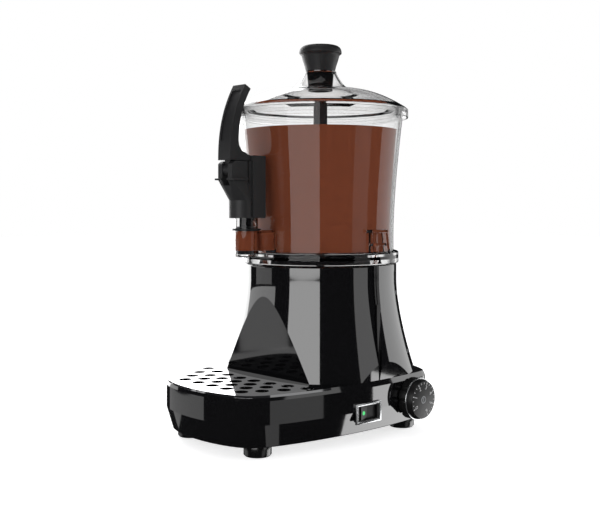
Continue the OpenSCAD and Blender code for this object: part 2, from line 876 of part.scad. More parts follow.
module dial() {
    scallops = 10;
    scallop_r = 4;
    scallop_depth = 2.4;
    front = dial_face_x - dial_back_x;
    at_origin() color("#121213") translate([dial_back_x, dial_y, dial_z]) rotate([0, 90, 0]) difference() {
        union() {
            difference() {
                cylinder(r = dial_r - 0.6, h = dial_skirt);
                for (i = [0:scallops - 1]) rotate([0, 0, (i + 0.5) * 360 / scallops])
                    translate([dial_r + scallop_r - scallop_depth, 0, -cut])
                        cylinder(r = scallop_r, h = dial_skirt + cut, $fn = 32);
            }
            translate([0, 0, dial_skirt]) cylinder(r = dial_r, h = dial_flange);
            translate([0, 0, dial_skirt + dial_flange])
                cylinder(r1 = dial_r - 1.2, r2 = dial_r - 3.2, h = front - dial_skirt - dial_flange);
        }
        translate([0, 0, -cut]) cylinder(r = dial_bush_r + 2, h = 4 + cut, $fn = 48);
        translate([0, 0, -cut]) cylinder(r = spindle_r + fit, h = 14 + cut, $fn = 48);
    }
}

module dial_spindle() {
    at_origin() color("#cfd1d3") translate([thermostat_x - spindle_back, dial_y, dial_z])
        rotate([0, 90, 0])
            cylinder(r = spindle_r, h = dial_back_x - thermostat_x + spindle_back + spindle_grip, $fn = 48);
}

rocker_l = switch_body_l - 9;
rocker_h = switch_body_h - 4;
rocker_tilt = 8;
rocker_axis_x = -5;
pivot_r = 1.5;
pivot_reach = 1.2;
lens_r = 2.2;
rocker_face = 3.6;
lens_t = 2.2;
lens_y = rocker_l / 2 - 5;
lens_x = rocker_face + lens_y * tan(rocker_tilt) - lens_t + 0.4;

module switch_housing() {
    rim_t = 2;
    at_origin() color("#2a2a2c") at_switch() difference() {
        union() {
            translate([0, -switch_l / 2, -switch_h / 2]) cube([rim_t, switch_l, switch_h]);
            translate([-22, -switch_body_l / 2, -switch_body_h / 2]) cube([22, switch_body_l, switch_body_h]);
            for (y = [-10, 0, 10]) translate([-30, y - 3, -0.4]) cube([8, 6, 0.8]);
        }
        translate([-13, -rocker_l / 2 - 1.4, -rocker_h / 2 - slip])
            cube([13 + rim_t + cut, rocker_l + 2.8, rocker_h + 2 * slip]);
        translate([rocker_axis_x, 0, 0])
            cylinder(r = pivot_r + run, h = rocker_h + 2 * (pivot_reach + slip), center = true, $fn = 32);
    }
}

// The rocker seen from above: two faces that meet in a shallow V, one end pressed in.
// Its two pivots turn in the housing's walls.
module switch_rocker() {
    half = rocker_l / 2;
    face = rocker_face;
    rise = half * tan(rocker_tilt);
    at_origin() color("#0d0d0e") at_switch() translate([rocker_axis_x, 0, 0]) rotate([0, 0, rocker_tilt])
        translate([0, 0, -rocker_h / 2]) difference() {
            union() {
                linear_extrude(rocker_h) polygon([
                    [face, 0], [face + rise, half], [0, half - 1], [-4, 4], [-4, -4],
                    [0, 1 - half], [face + rise, -half]
                ]);
                translate([0, 0, -pivot_reach])
                    cylinder(r = pivot_r, h = rocker_h + 2 * pivot_reach, $fn = 32);
            }
            translate([lens_x, -lens_y, rocker_h / 2]) rotate([0, 90, 0])
                cylinder(r = lens_r + fit, h = 6, $fn = 32);
        }
}

module switch_lens() {
    at_origin() color("#23c552") at_switch() translate([rocker_axis_x, 0, 0]) rotate([0, 0, rocker_tilt])
        translate([lens_x, -lens_y, 0]) rotate([0, 90, 0])
            cylinder(r = lens_r, h = lens_t, $fn = 32);
}

// ---------- drip tray and grid ----------
module drip_tray() {
    side = tray_inset + tray_shelf_w + slip;
    low_z = grid_seat_z - tray_depth;
    flange_low_z = grid_seat_z - tray_flange_t;
    at_origin() color("#1b1b1d") difference() {
        union() {
            translate([0, 0, low_z]) linear_extrude(tray_depth) tray_outline(side);
            translate([0, 0, flange_low_z]) linear_extrude(tray_flange_t) tray_outline(tray_inset + slip);
        }
        translate([0, 0, low_z + tray_t]) linear_extrude(tray_depth) tray_outline(side + tray_t);
    }
}

module drip_grid() {
    inset = grid_edge_inset + slip;
    last_row_y = -grid_rear_y - grid_row_margin;
    at_origin() color("#d8dadc") difference() {
        translate([0, 0, grid_seat_z]) linear_extrude(grid_t) difference() {
            base_outline(inset, 3);
            translate([0, grid_arc_y]) circle(r = grid_rear_r + slip, $fn = 180);
        }
        for (row = [0:grid_rows - 1]) {
            holes = grid_front_holes + row;
            for (i = [0:holes - 1]) {
                x = (i - (holes - 1) / 2) * grid_pitch;
                // the rear row follows the curved edge, the front row is straight
                bow = x * x / (2 * grid_rear_r) * row / (grid_rows - 1);
                y = last_row_y - (grid_rows - 1 - row) * grid_row_pitch + bow;
                translate([x, y, grid_seat_z - cut])
                    cylinder(r = grid_hole_r, h = grid_t + 2 * cut, $fn = 48);
            }
        }
    }
}

// ---------- bowl ----------
floor_z = bowl_base_z + 13;
gasket_t = 1.5;
floor_t = 1.5;
gasket_w = 5;
rim_w = 3.6;
rim_h = 3.5;
channel_w = 30;
channel_h = 25;
channel_z = bowl_base_z + bowl_foot_h + slip;
channel_side_t = 5;
channel_floor_t = 3;
channel_bore_h = 13;

function bowl_r(z) =
    waist_r + bowl_flare * pow(max(0, (z - waist_z) / (bowl_rim_z - waist_z)), 1.5);

// The square way from the bowl to the tap, from y ahead of the bowl's axis outwards
module channel_bore(y, length) {
    bore_w = channel_w - 2 * channel_side_t;
    translate([-bore_w / 2, -y - length, channel_z + channel_floor_t]) cube([bore_w, length, channel_bore_h]);
}

// Points up the bowl's side, drawn in by inset
function bowl_side(inset, low, high, steps) =
    [for (i = [0:steps]) let (z = low + i * (high - low) / steps) [bowl_r(z) - inset, z]];

// A lifting lug on the bowl's side, over the column's groove: a bar on a post and a slanted
// gusset, with a cross bar between them
module bowl_lug() {
    low_z = bowl_base_z + bowl_foot_h - 3;
    bar_l = 28;
    bar_t = 4;
    post_h = 26;
    post_front_y = -11;
    difference() {
        translate([waist_r - 2, 0, low_z]) {
            translate([0, post_front_y - bar_t, post_h - 1]) cube([10.5, bar_l, bar_t]);
            translate([0, post_front_y, 0]) cube([8, 5, post_h]);
            translate([0, 16, 0]) rotate([12, 0, 0]) cube([8, 4, post_h - 1]);
            translate([0, post_front_y, 10]) cube([7, bar_l, 3]);
        }
        cylinder(r = waist_in_r + bowl_t / 2, h = bowl_rim_z);
    }
}

module bowl() {
    steps = 10;
    side_low = bowl_base_z + bowl_foot_h;
    ledge_z = floor_z - gasket_t;
    rim_r = bowl_r(bowl_rim_z) + rim_w;
    inner = bowl_side(bowl_t, side_low, bowl_rim_z, steps);
    at_origin() color("#dfe6ea", 0.35) difference() {
        union() {
            rotate_extrude() polygon(concat(
                [[waist_in_r, bowl_base_z], [bowl_foot_r - 1.5, bowl_base_z],
                 [bowl_foot_r, bowl_base_z + 1.5], [bowl_foot_r, side_low - 3],
                 [bowl_foot_r - 2, side_low - 1]],
                bowl_side(0, side_low, bowl_rim_z - rim_h, steps),
                [[rim_r, bowl_rim_z - rim_h], [rim_r, bowl_rim_z]],
                [for (i = [steps:-1:0]) inner[i]],
                [[waist_in_r, ledge_z], [waist_in_r - gasket_w, ledge_z],
                 [waist_in_r - gasket_w, ledge_z - 3], [waist_in_r, ledge_z - 6]]));
            for (side = [0, 180]) rotate([0, 0, side]) bowl_lug();
        }
        // way through the wall to the tap
        channel_bore(waist_in_r - bowl_t, 3 * bowl_t);
    }
}

// The floor, with a stand pipe in its middle that lets the shaft up through the drink
module bowl_floor() {
    pipe_in_r = shaft_r + pipe_gap;
    pipe_r = pipe_in_r + pipe_t;
    pipe_top_z = shaft_top_z - flat_h - 4;
    at_origin() color("#c4c6c8") rotate_extrude() polygon([
        [pipe_in_r, floor_z - 4],
        [pipe_r, floor_z - 4],
        [pipe_r, floor_z],
        [waist_in_r - slip, floor_z],
        [waist_in_r - slip, floor_z + floor_t],
        [pipe_r, floor_z + floor_t],
        [pipe_r, pipe_top_z],
        [pipe_in_r, pipe_top_z]
    ]);
}

module floor_gasket() {
    at_origin() color("#3a3b3d") translate([0, 0, floor_z - gasket_t]) difference() {
        cylinder(r = waist_in_r - 0.1, h = gasket_t);
        translate([0, 0, -cut]) cylinder(r = waist_in_r - gasket_w, h = gasket_t + 2 * cut);
    }
}

// ---------- tap ----------
tube_in_r = tube_r - tube_t;
tube_floor_t = 3;
tube_top_z = cap_bottom_z + 12;
partition_z = 284;
partition_t = 3;
chamber_r = 9.8;
chamber_top_z = yoke_top_z + 4;
block_top_z = yoke_top_z + 6.5;
valve_r = tube_in_r - 1;
guide_z = 236;
guide_h = 5;
piston_ring_h = 2.1;
ring_seat_r = tube_in_r - 1.4;
piston_low_z = tube_bottom_z + tube_floor_t + slip;
head_r = 8;
lever_angle = 30;
// height that the lever's nose gains over its whole pull
piston_lift = lever_arm * sin(lever_angle) - nose_drop * cos(lever_angle) + nose_drop;
head_z = nose_z + nose_r + 0.4;

module at_tap() { translate([0, -tap_y, 0]) children(); }

// The clear tube, in one piece with the channel that joins it to the bowl
module tap_tube() {
    chamfer = 3;
    crown = 5;
    channel_l = tap_y - waist_in_r;
    at_origin() color("#dfe6ea", 0.35) difference() {
        union() {
            at_tap() rotate_extrude() polygon([
                [0, tube_bottom_z], [tube_r - chamfer, tube_bottom_z], [tube_r, tube_bottom_z + chamfer],
                [tube_r, tube_top_z], [0, tube_top_z]
            ]);
            translate([-channel_w / 2, -tap_y, channel_z]) cube([channel_w, channel_l, channel_h - crown]);
            translate([-channel_w / 2 + crown, -tap_y, channel_z])
                cube([channel_w - 2 * crown, channel_l, channel_h]);
        }
        cylinder(r = bowl_r(channel_z + channel_h) + slip / 2, h = bowl_rim_z);
        at_tap() {
            translate([0, 0, tube_bottom_z - cut])
                cylinder(r = outlet_r, h = tube_floor_t + 2 * cut, $fn = 64);
            translate([0, 0, tube_bottom_z + tube_floor_t]) cylinder(r = tube_in_r, h = tube_top_z, $fn = 64);
        }
        channel_bore(waist_in_r, channel_l);
    }
}

// A seal ring round the tube, just above the channel
module tap_ring() {
    ring_w = 3;
    ring_h = 2;
    at_origin() color("#101010") at_tap() translate([0, 0, channel_z + channel_h + slip]) rotate_extrude()
        translate([tube_r + fit, 0]) square([ring_w, ring_h]);
}

module tap_cap() {
    block_front_y = tap_y + 2.8;
    block_rear_y = tap_y - 16.2;
    round_y = tap_y + 6.8;
    yoke_front_y = pin_y + 7.5;
    yoke_rear_y = pin_y - 15.5;
    yoke_low_z = yoke_top_z - 21.5;
    neck_z = cap_bottom_z + 20;
    thin = 0.01;
    cheek_r = yoke_top_z - lever_pin_z;
    tine_slot_w = 2 * (piston_rod_r + 5);
    neck_slot_w = 9.8;
    at_origin() color("#1c1d1e") difference() {
        union() {
            // round front, and the block behind the tap
            translate([0, -round_y, cap_bottom_z]) cylinder(r = cap_half_w, h = neck_z - cap_bottom_z);
            translate([-cap_half_w, -block_front_y, cap_bottom_z])
                cube([2 * cap_half_w, block_front_y - block_rear_y, block_top_z - cap_bottom_z]);
            translate([-cap_half_w + 2, -round_y, cap_bottom_z])
                cube([2 * cap_half_w - 4, round_y - tap_y, yoke_top_z - cap_bottom_z]);
            // the front widens upwards into the yoke
            hull() {
                translate([0, -round_y, neck_z]) cylinder(r = cap_half_w, h = thin, $fn = 48);
                translate([-yoke_w / 2, -yoke_front_y, yoke_low_z])
                    cube([yoke_w, yoke_front_y - yoke_rear_y, thin]);
            }
            // yoke, with its top edge rounded about the pin so that the lever's foot clears it
            difference() {
                translate([-yoke_w / 2, -yoke_front_y, yoke_low_z])
                    cube([yoke_w, yoke_front_y - yoke_rear_y, yoke_top_z - yoke_low_z]);
                translate([-yoke_w, -pin_y - 2 * cheek_r, lever_pin_z]) difference() {
                    cube([2 * yoke_w, 2 * cheek_r, 2 * cheek_r]);
                    translate([-cut, 2 * cheek_r, 0]) rotate([0, 90, 0])
                        cylinder(r = cheek_r, h = 2 * yoke_w + 2 * cut);
                }
            }
            translate([-yoke_w / 2 - 3.5, -yoke_front_y - 2, yoke_low_z])
                cube([yoke_w + 7, yoke_front_y - yoke_rear_y, 2]);
        }
        // socket for the tube, chamber for the spring, chamber for the piston's head
        at_tap() {
            translate([0, 0, cap_bottom_z - cut])
                cylinder(r = tube_r + fit, h = tube_top_z - cap_bottom_z + cut + slip);
            translate([0, 0, cap_bottom_z]) cylinder(r = tube_in_r, h = partition_z - cap_bottom_z);
            translate([0, 0, partition_z - cut])
                cylinder(r = piston_rod_r + slip, h = partition_t + 2 * cut, $fn = 48);
            translate([0, 0, partition_z + partition_t])
                cylinder(r = chamber_r, h = chamber_top_z - partition_z - partition_t);
        }
        // slots for the lever's fork and for its neck
        translate([-tine_slot_w / 2, -pin_y + 3, partition_z + partition_t])
            cube([tine_slot_w, pin_y - tap_y - 3, yoke_top_z]);
        translate([-neck_slot_w / 2, -yoke_front_y - 5, partition_z + partition_t])
            cube([neck_slot_w, yoke_front_y - tap_y, yoke_top_z]);
        translate([0, -pin_y, lever_pin_z]) rotate([0, 90, 0])
            cylinder(r = lever_pin_r + fit, h = yoke_w + 2 * cut, center = true, $fn = 48);
    }
}

module lever_pin() {
    at_origin() color("#c8cacc") translate([0, -pin_y, lever_pin_z]) rotate([0, 90, 0])
        cylinder(r = lever_pin_r, h = yoke_w, center = true, $fn = 48);
}

module tap_piston() {
    guide_r = tube_in_r - 0.2;
    lip = (guide_h - piston_ring_h) / 2 - fit;
    at_origin() color("#e8e8e4") at_tap() {
        rotate_extrude($fn = 64) polygon([
            [0, piston_low_z], [valve_r - 0.5, piston_low_z], [valve_r, piston_low_z + 0.5],
            [valve_r, piston_low_z + 4], [piston_rod_r, piston_low_z + 6],
            [piston_rod_r, guide_z],
            [guide_r, guide_z], [guide_r, guide_z + lip], [ring_seat_r, guide_z + lip],
            [ring_seat_r, guide_z + guide_h - lip], [guide_r, guide_z + guide_h - lip],
            [guide_r, guide_z + guide_h],
            [piston_rod_r, guide_z + guide_h],
            [piston_rod_r, head_z], [head_r, head_z], [head_r, head_z + 2], [0, head_z + 2]
        ]);
    }
}

module piston_rings() {
    at_origin() color("#121212") at_tap() translate([0, 0, guide_z + guide_h / 2]) difference() {
        cylinder(r = tube_in_r - 0.1, h = piston_ring_h, center = true, $fn = 64);
        cylinder(r = ring_seat_r + fit, h = piston_ring_h + 2 * cut, center = true, $fn = 64);
    }
}

module return_spring() {
    // the coil's outer shape: a tube between the piston's guide and the cap's partition
    low = guide_z + guide_h;
    at_origin() color("#b9bbbd") at_tap() translate([0, 0, low]) difference() {
        cylinder(r = 8, h = partition_z - low, $fn = 48);
        translate([0, 0, -cut]) cylinder(r = 6.6, h = partition_z - low + 2 * cut, $fn = 48);
    }
}

// The lever seen from the side: a blade that curves up and back from a flat foot
lever_foot_z = yoke_top_z + 0.8;
lever_foot_t = 5.5;
lever_front_y = pin_y + 8.8;
lever_lean = 22;
blade_t = 9.5;
function blade_front(t) =
    [-lever_front_y + lever_lean * pow(t, 2.3), lever_foot_z + (lever_top_z - lever_foot_z) * t];
function blade_back(t) =
    [-lever_front_y + blade_t + 2 + (lever_lean - 3.5) * pow(t, 2.6) + 18 * pow(1 - t, 16),
     lever_foot_z + lever_foot_t + (lever_top_z - lever_foot_z - lever_foot_t - 4.5) * t];

module tap_lever() {
    steps = 14;
    knuckle_r = 7;
    neck_w = 9;
    tine_w = 3.6;
    gap_w = piston_rod_r + 0.7;
    collar_front_y = tap_y + 11.3;
    foot_rear_y = tap_y + 3.3;
    fork_root_y = pin_y - 5.4;
    fork_root_h = 6;
    at_origin() color("#202122") difference() {
        union() {
            translate([-lever_w / 2, 0, 0]) rotate([90, 0, 90]) linear_extrude(lever_w) polygon(concat(
                [[-foot_rear_y, lever_foot_z]],
                [for (i = [0:steps]) blade_front(i / steps)],
                [for (i = [steps:-1:0]) blade_back(i / steps)],
                [[-foot_rear_y, lever_foot_z + lever_foot_t]]));
            // neck and knuckle on the pin
            translate([0, -pin_y, lever_pin_z]) rotate([0, 90, 0])
                cylinder(r = knuckle_r, h = neck_w, center = true, $fn = 64);
            translate([-neck_w / 2, -pin_y - 4, lever_pin_z])
                cube([neck_w, 8, lever_foot_z - lever_pin_z + cut]);
            // fork that lifts the piston's head
            for (side = [-1, 1]) translate([side * (gap_w + tine_w / 2) - tine_w / 2, 0, 0])
                rotate([90, 0, 90]) linear_extrude(tine_w) polygon([
                    [-fork_root_y, lever_pin_z - 4], [-fork_root_y, lever_pin_z - 4 + fork_root_h],
                    [-collar_front_y, nose_z + nose_r], [-tap_y, nose_z + nose_r],
                    [-tap_y, nose_z - nose_r], [-collar_front_y, nose_z - nose_r]
                ]);
            for (side = [-1, 1]) translate([side * (gap_w + tine_w / 2), -tap_y, nose_z]) rotate([0, 90, 0])
                cylinder(r = nose_r, h = tine_w, center = true, $fn = 32);
            translate([-gap_w - tine_w, -fork_root_y, lever_pin_z - 4])
                cube([2 * (gap_w + tine_w), 2, fork_root_h]);
            translate([-neck_w / 2, -pin_y, lever_pin_z - 4]) cube([neck_w, 6, fork_root_h]);
        }
        translate([0, -pin_y, lever_pin_z]) rotate([0, 90, 0])
            cylinder(r = lever_pin_r + run, h = lever_w, center = true, $fn = 48);
    }
}

// ---------- agitator ----------
agitator_z = floor_z + floor_t + 3;
sleeve_top_z = shaft_top_z + 8;

module agitator_sleeve() {
    at_origin() color("#c2c4c6") difference() {
        union() {
            translate([0, 0, agitator_z]) cylinder(r = sleeve_r, h = sleeve_top_z - 3 - agitator_z);
            translate([0, 0, sleeve_top_z - 3]) cylinder(r1 = sleeve_r, r2 = sleeve_r - 3, h = 3);
        }
        translate([0, 0, agitator_z - cut])
            cylinder(r = sleeve_in_r, h = shaft_top_z - flat_h - agitator_z + cut);
        translate([0, 0, shaft_top_z - flat_h - fit]) shaft_end(fit);
        translate([0, 0, shaft_top_z - cut]) cylinder(r = 2 + fit, h = 20, $fn = 24);
    }
}

module agitator_paddles() {
    blade_t = 3;
    blade_h = 12;
    arm_w = 10;
    arm_x = paddle_r - 16;
    rise = 8;
    at_origin() color("#d5d2c8") difference() {
        for (side = [0, 180]) rotate([0, 0, side]) {
            translate([0, -blade_t / 2, agitator_z]) cube([paddle_r, blade_t, blade_h]);
            translate([arm_x, -blade_t / 2, agitator_z]) cube([arm_w, blade_t, arm_h]);
            translate([0, -blade_t / 2, agitator_z + arm_h - rise]) cube([arm_x + arm_w, blade_t, rise]);
            translate([0, 0, agitator_z]) cylinder(r = sleeve_r + 3, h = blade_h);
            translate([0, 0, agitator_z + arm_h - rise]) cylinder(r = sleeve_r + 2, h = rise);
        }
        translate([0, 0, agitator_z - cut]) cylinder(r = sleeve_r + fit, h = arm_h + 2 * cut);
    }
}

module agitator_nut() {
    at_origin() color("#202020") {
        translate([0, 0, shaft_top_z + 2]) cylinder(r = 2, h = sleeve_top_z - shaft_top_z - 2, $fn = 24);
        translate([0, 0, sleeve_top_z]) cylinder(r1 = 5, r2 = 3.5, h = 3, $fn = 48);
    }
}

// ---------- lid ----------
cone_top_r = collar_r + lid_t + 0.4;
cone_foot_r = 43.6;

// Top of the dome, from the foot of the cone out to the rim
function dome_top(r) =
    lid_rim_z + (dome_z - lid_rim_z) * (1 - pow((r - cone_foot_r) / (lid_r - cone_foot_r), 1.75));

// Side of the concave cone
function cone_side(r) =
    dome_z + cone_h * pow((cone_foot_r - r) / (cone_foot_r - cone_top_r), 2.4);

// Both curves from the cone's top out to the rim, drawn in by inset
function lid_top(inset, steps) = concat(
    [for (i = [0:steps])
        let (r = cone_top_r + i * (cone_foot_r - cone_top_r) / steps)
        [r - inset * 0.9, cone_side(r) - inset * 0.5]],
    [for (i = [1:steps])
        let (r = cone_foot_r + i * (lid_r - 2 - cone_foot_r) / steps)
        [r - inset * 0.3, dome_top(r) - inset]]);

// A dome with a concave cone on it; its skirt goes round the bowl's rim, its spigot inside
module lid() {
    steps = 8;
    spigot_h = 10;
    spigot_t = 2;
    skirt_z = bowl_rim_z - lid_skirt_h;
    skirt_in_r = bowl_r(bowl_rim_z) + rim_w + slip;
    spigot_r = bowl_r(bowl_rim_z - spigot_h) - bowl_t - slip;
    inner = lid_top(lid_t, steps);
    at_origin() color("#e6ecef", 0.35) rotate_extrude($fn = 128) polygon(concat(
        lid_top(0, steps),
        [[lid_r, lid_rim_z - 1], [lid_r, skirt_z], [skirt_in_r, skirt_z], [skirt_in_r, bowl_rim_z],
         [spigot_r, bowl_rim_z], [spigot_r, bowl_rim_z - spigot_h],
         [spigot_r - spigot_t, bowl_rim_z - spigot_h], [spigot_r - spigot_t, bowl_rim_z + 2]],
        [for (i = [2 * steps - 2:-1:0]) inner[i]]));
}

collar_seat_z = dome_z + 9;
lid_screw_r = 3;

module lid_collar() {
    web = 4;
    at_origin() color("#141415") difference() {
        union() {
            translate([0, 0, dome_z + 2])
                cylinder(r1 = collar_r - 1.5, r2 = collar_r, h = cone_z - dome_z - 2);
            translate([0, 0, cone_z]) cylinder(r = cone_top_r, h = 1);
        }
        translate([0, 0, dome_z]) cylinder(r = collar_r - 1.5 - web, h = collar_seat_z - dome_z);
        translate([0, 0, dome_z]) cylinder(r = lid_screw_r + fit, h = cone_h + 10, $fn = 32);
    }
}

module lid_knob() {
    low = cone_z + 1;
    cone_end = low + knob_h - 13;
    crown_r = 11;
    at_origin() color("#18191a") difference() {
        rotate_extrude() polygon(concat(
            [[0, low], [cone_top_r - 1.6, low], [cone_top_r - 1, low + 1], [knob_r - 2.8, cone_end],
             [knob_r - 0.6, cone_end + 2], [knob_r, cone_end + 4]],
            [for (a = [10:10:90])
                [knob_r - crown_r + crown_r * cos(a), cone_end + 4 + (knob_z - cone_end - 4) * sin(a)]],
            [[0, knob_z]]));
        translate([0, 0, low - cut]) cylinder(r = lid_screw_r + fit, h = 12, $fn = 32);
    }
}

module lid_screw() {
    at_origin() color("#a9abad") {
        translate([0, 0, collar_seat_z]) cylinder(r = lid_screw_r, h = cone_z + 10 - collar_seat_z, $fn = 32);
        translate([0, 0, collar_seat_z - 3]) cylinder(r = 6.5, h = 3, $fn = 48);
    }
}

base_shell_front();
base_shell_right();
base_shell_rear();
base_shell_left();
base_deck();
base_rim();
column_shell();
rear_cover();
base_pan();
feet();
foot_screws();
cover_screws();
water_tank();
heating_element();
thermal_cutout();
thermostat();
thermostat_bulb();
motor_bracket();
bracket_posts();
gearbox();
motor();
motor_screws();
shaft_bush();
terminal_block();
cable_gland();
switch_housing();
switch_rocker();
switch_lens();
dial();
dial_spindle();
drive_shaft();
drip_tray();
drip_grid();
bowl();
bowl_floor();
floor_gasket();
tap_tube();
tap_ring();
tap_cap();
lever_pin();
tap_piston();
piston_rings();
return_spring();
tap_lever();
agitator_sleeve();
agitator_paddles();
agitator_nut();
lid();
lid_collar();
lid_knob();
lid_screw();
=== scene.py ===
# %% [markdown]
# # A hot chocolate dispenser, dressed for the camera
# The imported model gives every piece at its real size. This lesson gives the pieces their
# finish: gloss black moulding, polished steel, clear plastic, satin black grips and the drink.

# %% The frame
import math

import bmesh
import bpy
from mathutils import Matrix, Vector


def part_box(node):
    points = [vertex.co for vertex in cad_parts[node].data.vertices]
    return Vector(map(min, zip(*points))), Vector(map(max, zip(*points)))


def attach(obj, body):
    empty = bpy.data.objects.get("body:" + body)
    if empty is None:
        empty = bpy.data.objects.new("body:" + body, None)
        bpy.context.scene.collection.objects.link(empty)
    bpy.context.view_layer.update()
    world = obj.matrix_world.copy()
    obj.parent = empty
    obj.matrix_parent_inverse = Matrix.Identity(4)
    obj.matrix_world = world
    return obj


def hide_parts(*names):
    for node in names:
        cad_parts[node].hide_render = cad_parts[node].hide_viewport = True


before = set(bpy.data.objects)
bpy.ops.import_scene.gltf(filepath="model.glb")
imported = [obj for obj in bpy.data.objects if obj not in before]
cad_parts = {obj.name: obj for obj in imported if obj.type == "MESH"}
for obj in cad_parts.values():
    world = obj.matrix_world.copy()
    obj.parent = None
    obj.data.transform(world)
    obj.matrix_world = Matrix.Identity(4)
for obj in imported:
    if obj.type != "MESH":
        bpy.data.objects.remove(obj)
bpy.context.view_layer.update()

# %% [markdown]
# Sizes below are in millimetres from the bowl's axis, because the machine is built round it.
# The axis is read from the drive shaft, so nothing here needs to know where the origin is.

# %% Millimetres from the bowl's axis
MM = 0.001
shaft_low, shaft_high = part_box("drive_shaft")
AXIS = (shaft_low + shaft_high) / 2


def at(x, y, z):
    """A place in the frame, from millimetres measured from the bowl's axis and the counter."""
    return Vector((AXIS.x + x * MM, AXIS.y + y * MM, z * MM))


print("bowl axis at", round(AXIS.x, 4), round(AXIS.y, 4))

# %% [markdown]
# ## Camera and studio
# The camera stands level with the middle of the machine, well to its right, and is shifted
# down to frame it, which keeps upright edges upright, as in a catalogue picture.

# %% Camera
CAMERA_PLACE = (781.3, -797.9, 266.7)
CAMERA_TURN_DEG = 45.68
camera_data = bpy.data.cameras.new("camera")
camera = bpy.data.objects.new("camera", camera_data)
bpy.context.scene.collection.objects.link(camera)
camera.location = at(*CAMERA_PLACE)
camera.rotation_euler = (math.radians(90), 0, math.radians(CAMERA_TURN_DEG))
camera_data.lens = 54.69
camera_data.sensor_width = 36
camera_data.shift_y = -0.0837
bpy.context.scene.camera = camera
bpy.context.scene.view_settings.view_transform = "Standard"
print("camera lens", camera_data.lens, "shift", camera_data.shift_y)

# %% [markdown]
# Gloss black is seen only by what it reflects, so the lamps are tall panels with dark gaps
# between them. Each panel is given by the angle it stands at and how wide it looks. They reach
# below the counter, because reflections see through the floor here: the flared walls look down.

# %% Soft panels
PANEL_DISTANCE = 1.6


def panel(name, middle_deg, width_deg, low_z, high_z, radiance):
    """A tall lamp that faces the machine; radiance sets its brightness, whatever its size."""
    width = 2 * PANEL_DISTANCE * math.tan(math.radians(width_deg / 2))
    height = high_z - low_z
    lamp = bpy.data.lights.new(name, "AREA")
    lamp.shape = "RECTANGLE"
    lamp.size = width
    lamp.size_y = height
    lamp.energy = radiance * math.pi * width * height
    lamp_object = bpy.data.objects.new(name, lamp)
    bpy.context.scene.collection.objects.link(lamp_object)
    angle = math.radians(middle_deg)
    outwards = Vector((math.cos(angle), math.sin(angle), 0))
    lamp_object.location = at(0, 0, 0) + outwards * PANEL_DISTANCE + Vector((0, 0, (low_z + high_z) / 2))
    lamp_object.rotation_euler = outwards.to_track_quat("Z", "Y").to_euler()
    lamp_object.visible_camera = False
    lamp_object.visible_transmission = False
    print(name, "is", round(width, 2), "m wide")
    return lamp_object


panel("key_panel", -68.5, 44, 0.05, 0.95, 2.0)
panel("side_panel", 16, 26, -0.1, 0.95, 0.55)
panel("right_panel", 74, 50, -0.05, 0.95, 1.3)
panel("left_panel", 163.4, 49.2, -0.1, 1.75, 3.5)
panel("neck_panel", -138, 34, 0.0, 0.09, 0.42)
panel("front_panel", -143, 58, 0.12, 0.36, 1.0)
panel("low_front_panel", -136.2, 5, -0.24, -0.02, 0.42)
panel("low_left_panel", -149.5, 49, -0.75, -0.25, 0.42)
panel("low_side_panel", 4.5, 29, -0.65, -0.15, 0.26)
panel("deep_side_panel", -1, 18, -1.6, -0.66, 0.26)
panel("low_right_panel", 61.5, 47, -1.7, -0.226, 2.4)

# %% [markdown]
# One wide lamp hangs high above, a little to one side. It gives the deck, the grid and the lid
# their sheen.

# %% Overhead lamp
OVERHEAD_W, OVERHEAD_L, OVERHEAD_RADIANCE = 1.4, 0.5, 0.9
overhead = bpy.data.lights.new("overhead", "AREA")
overhead.shape = "RECTANGLE"
overhead.size = OVERHEAD_W
overhead.size_y = OVERHEAD_L
overhead.energy = OVERHEAD_RADIANCE * math.pi * OVERHEAD_W * OVERHEAD_L
overhead_object = bpy.data.objects.new("overhead", overhead)
bpy.context.scene.collection.objects.link(overhead_object)
overhead_object.location = at(-250, -150, 1700)
overhead_object.visible_camera = False
overhead_object.visible_transmission = False
print("overhead lamp is", OVERHEAD_W, "by", OVERHEAD_L, "m")

# %% [markdown]
# The background is plain white to the camera. Reflections see a nearly black studio from every
# side, which keeps black looking black. Clear plastic shows the white only in directions near
# this camera's own, and after light has bounced off a dull surface. From other sides it shows
# the black studio too, so a clear lid looks black from behind: a fault of this set-up.

# %% World
AHEAD = (-0.7155, 0.6987, 0)
AHEAD_NONE, AHEAD_FULL = 0.86, 0.93
STUDIO_DIM, STUDIO_DARK = (0.42, 0.42, 0.43, 1), (0.015, 0.015, 0.016, 1)
world = bpy.data.worlds.new("studio")
bpy.context.scene.world = world
world.use_nodes = True
world_nodes = world.node_tree.nodes
world_links = world.node_tree.links
world_nodes.clear()
world_out = world_nodes.new("ShaderNodeOutputWorld")
light_path = world_nodes.new("ShaderNodeLightPath")
seen_white = world_nodes.new("ShaderNodeMath")
seen_white.operation = "MAXIMUM"
world_links.new(light_path.outputs["Is Camera Ray"], seen_white.inputs[0])
direction = world_nodes.new("ShaderNodeTexCoord")
straight = world_nodes.new("ShaderNodeVectorMath")
straight.operation = "DOT_PRODUCT"
straight.inputs[1].default_value = AHEAD
world_links.new(direction.outputs["Generated"], straight.inputs[0])
ahead = world_nodes.new("ShaderNodeMapRange")
ahead.inputs["From Min"].default_value = AHEAD_NONE
ahead.inputs["From Max"].default_value = AHEAD_FULL
world_links.new(straight.outputs["Value"], ahead.inputs["Value"])
lighting = world_nodes.new("ShaderNodeMath")
lighting.operation = "MAXIMUM"
lighting.use_clamp = True
world_links.new(light_path.outputs["Diffuse Depth"], lighting.inputs[0])
world_links.new(ahead.outputs[0], lighting.inputs[1])
seen_through = world_nodes.new("ShaderNodeMath")
seen_through.operation = "MULTIPLY"
world_links.new(light_path.outputs["Is Transmission Ray"], seen_through.inputs[0])
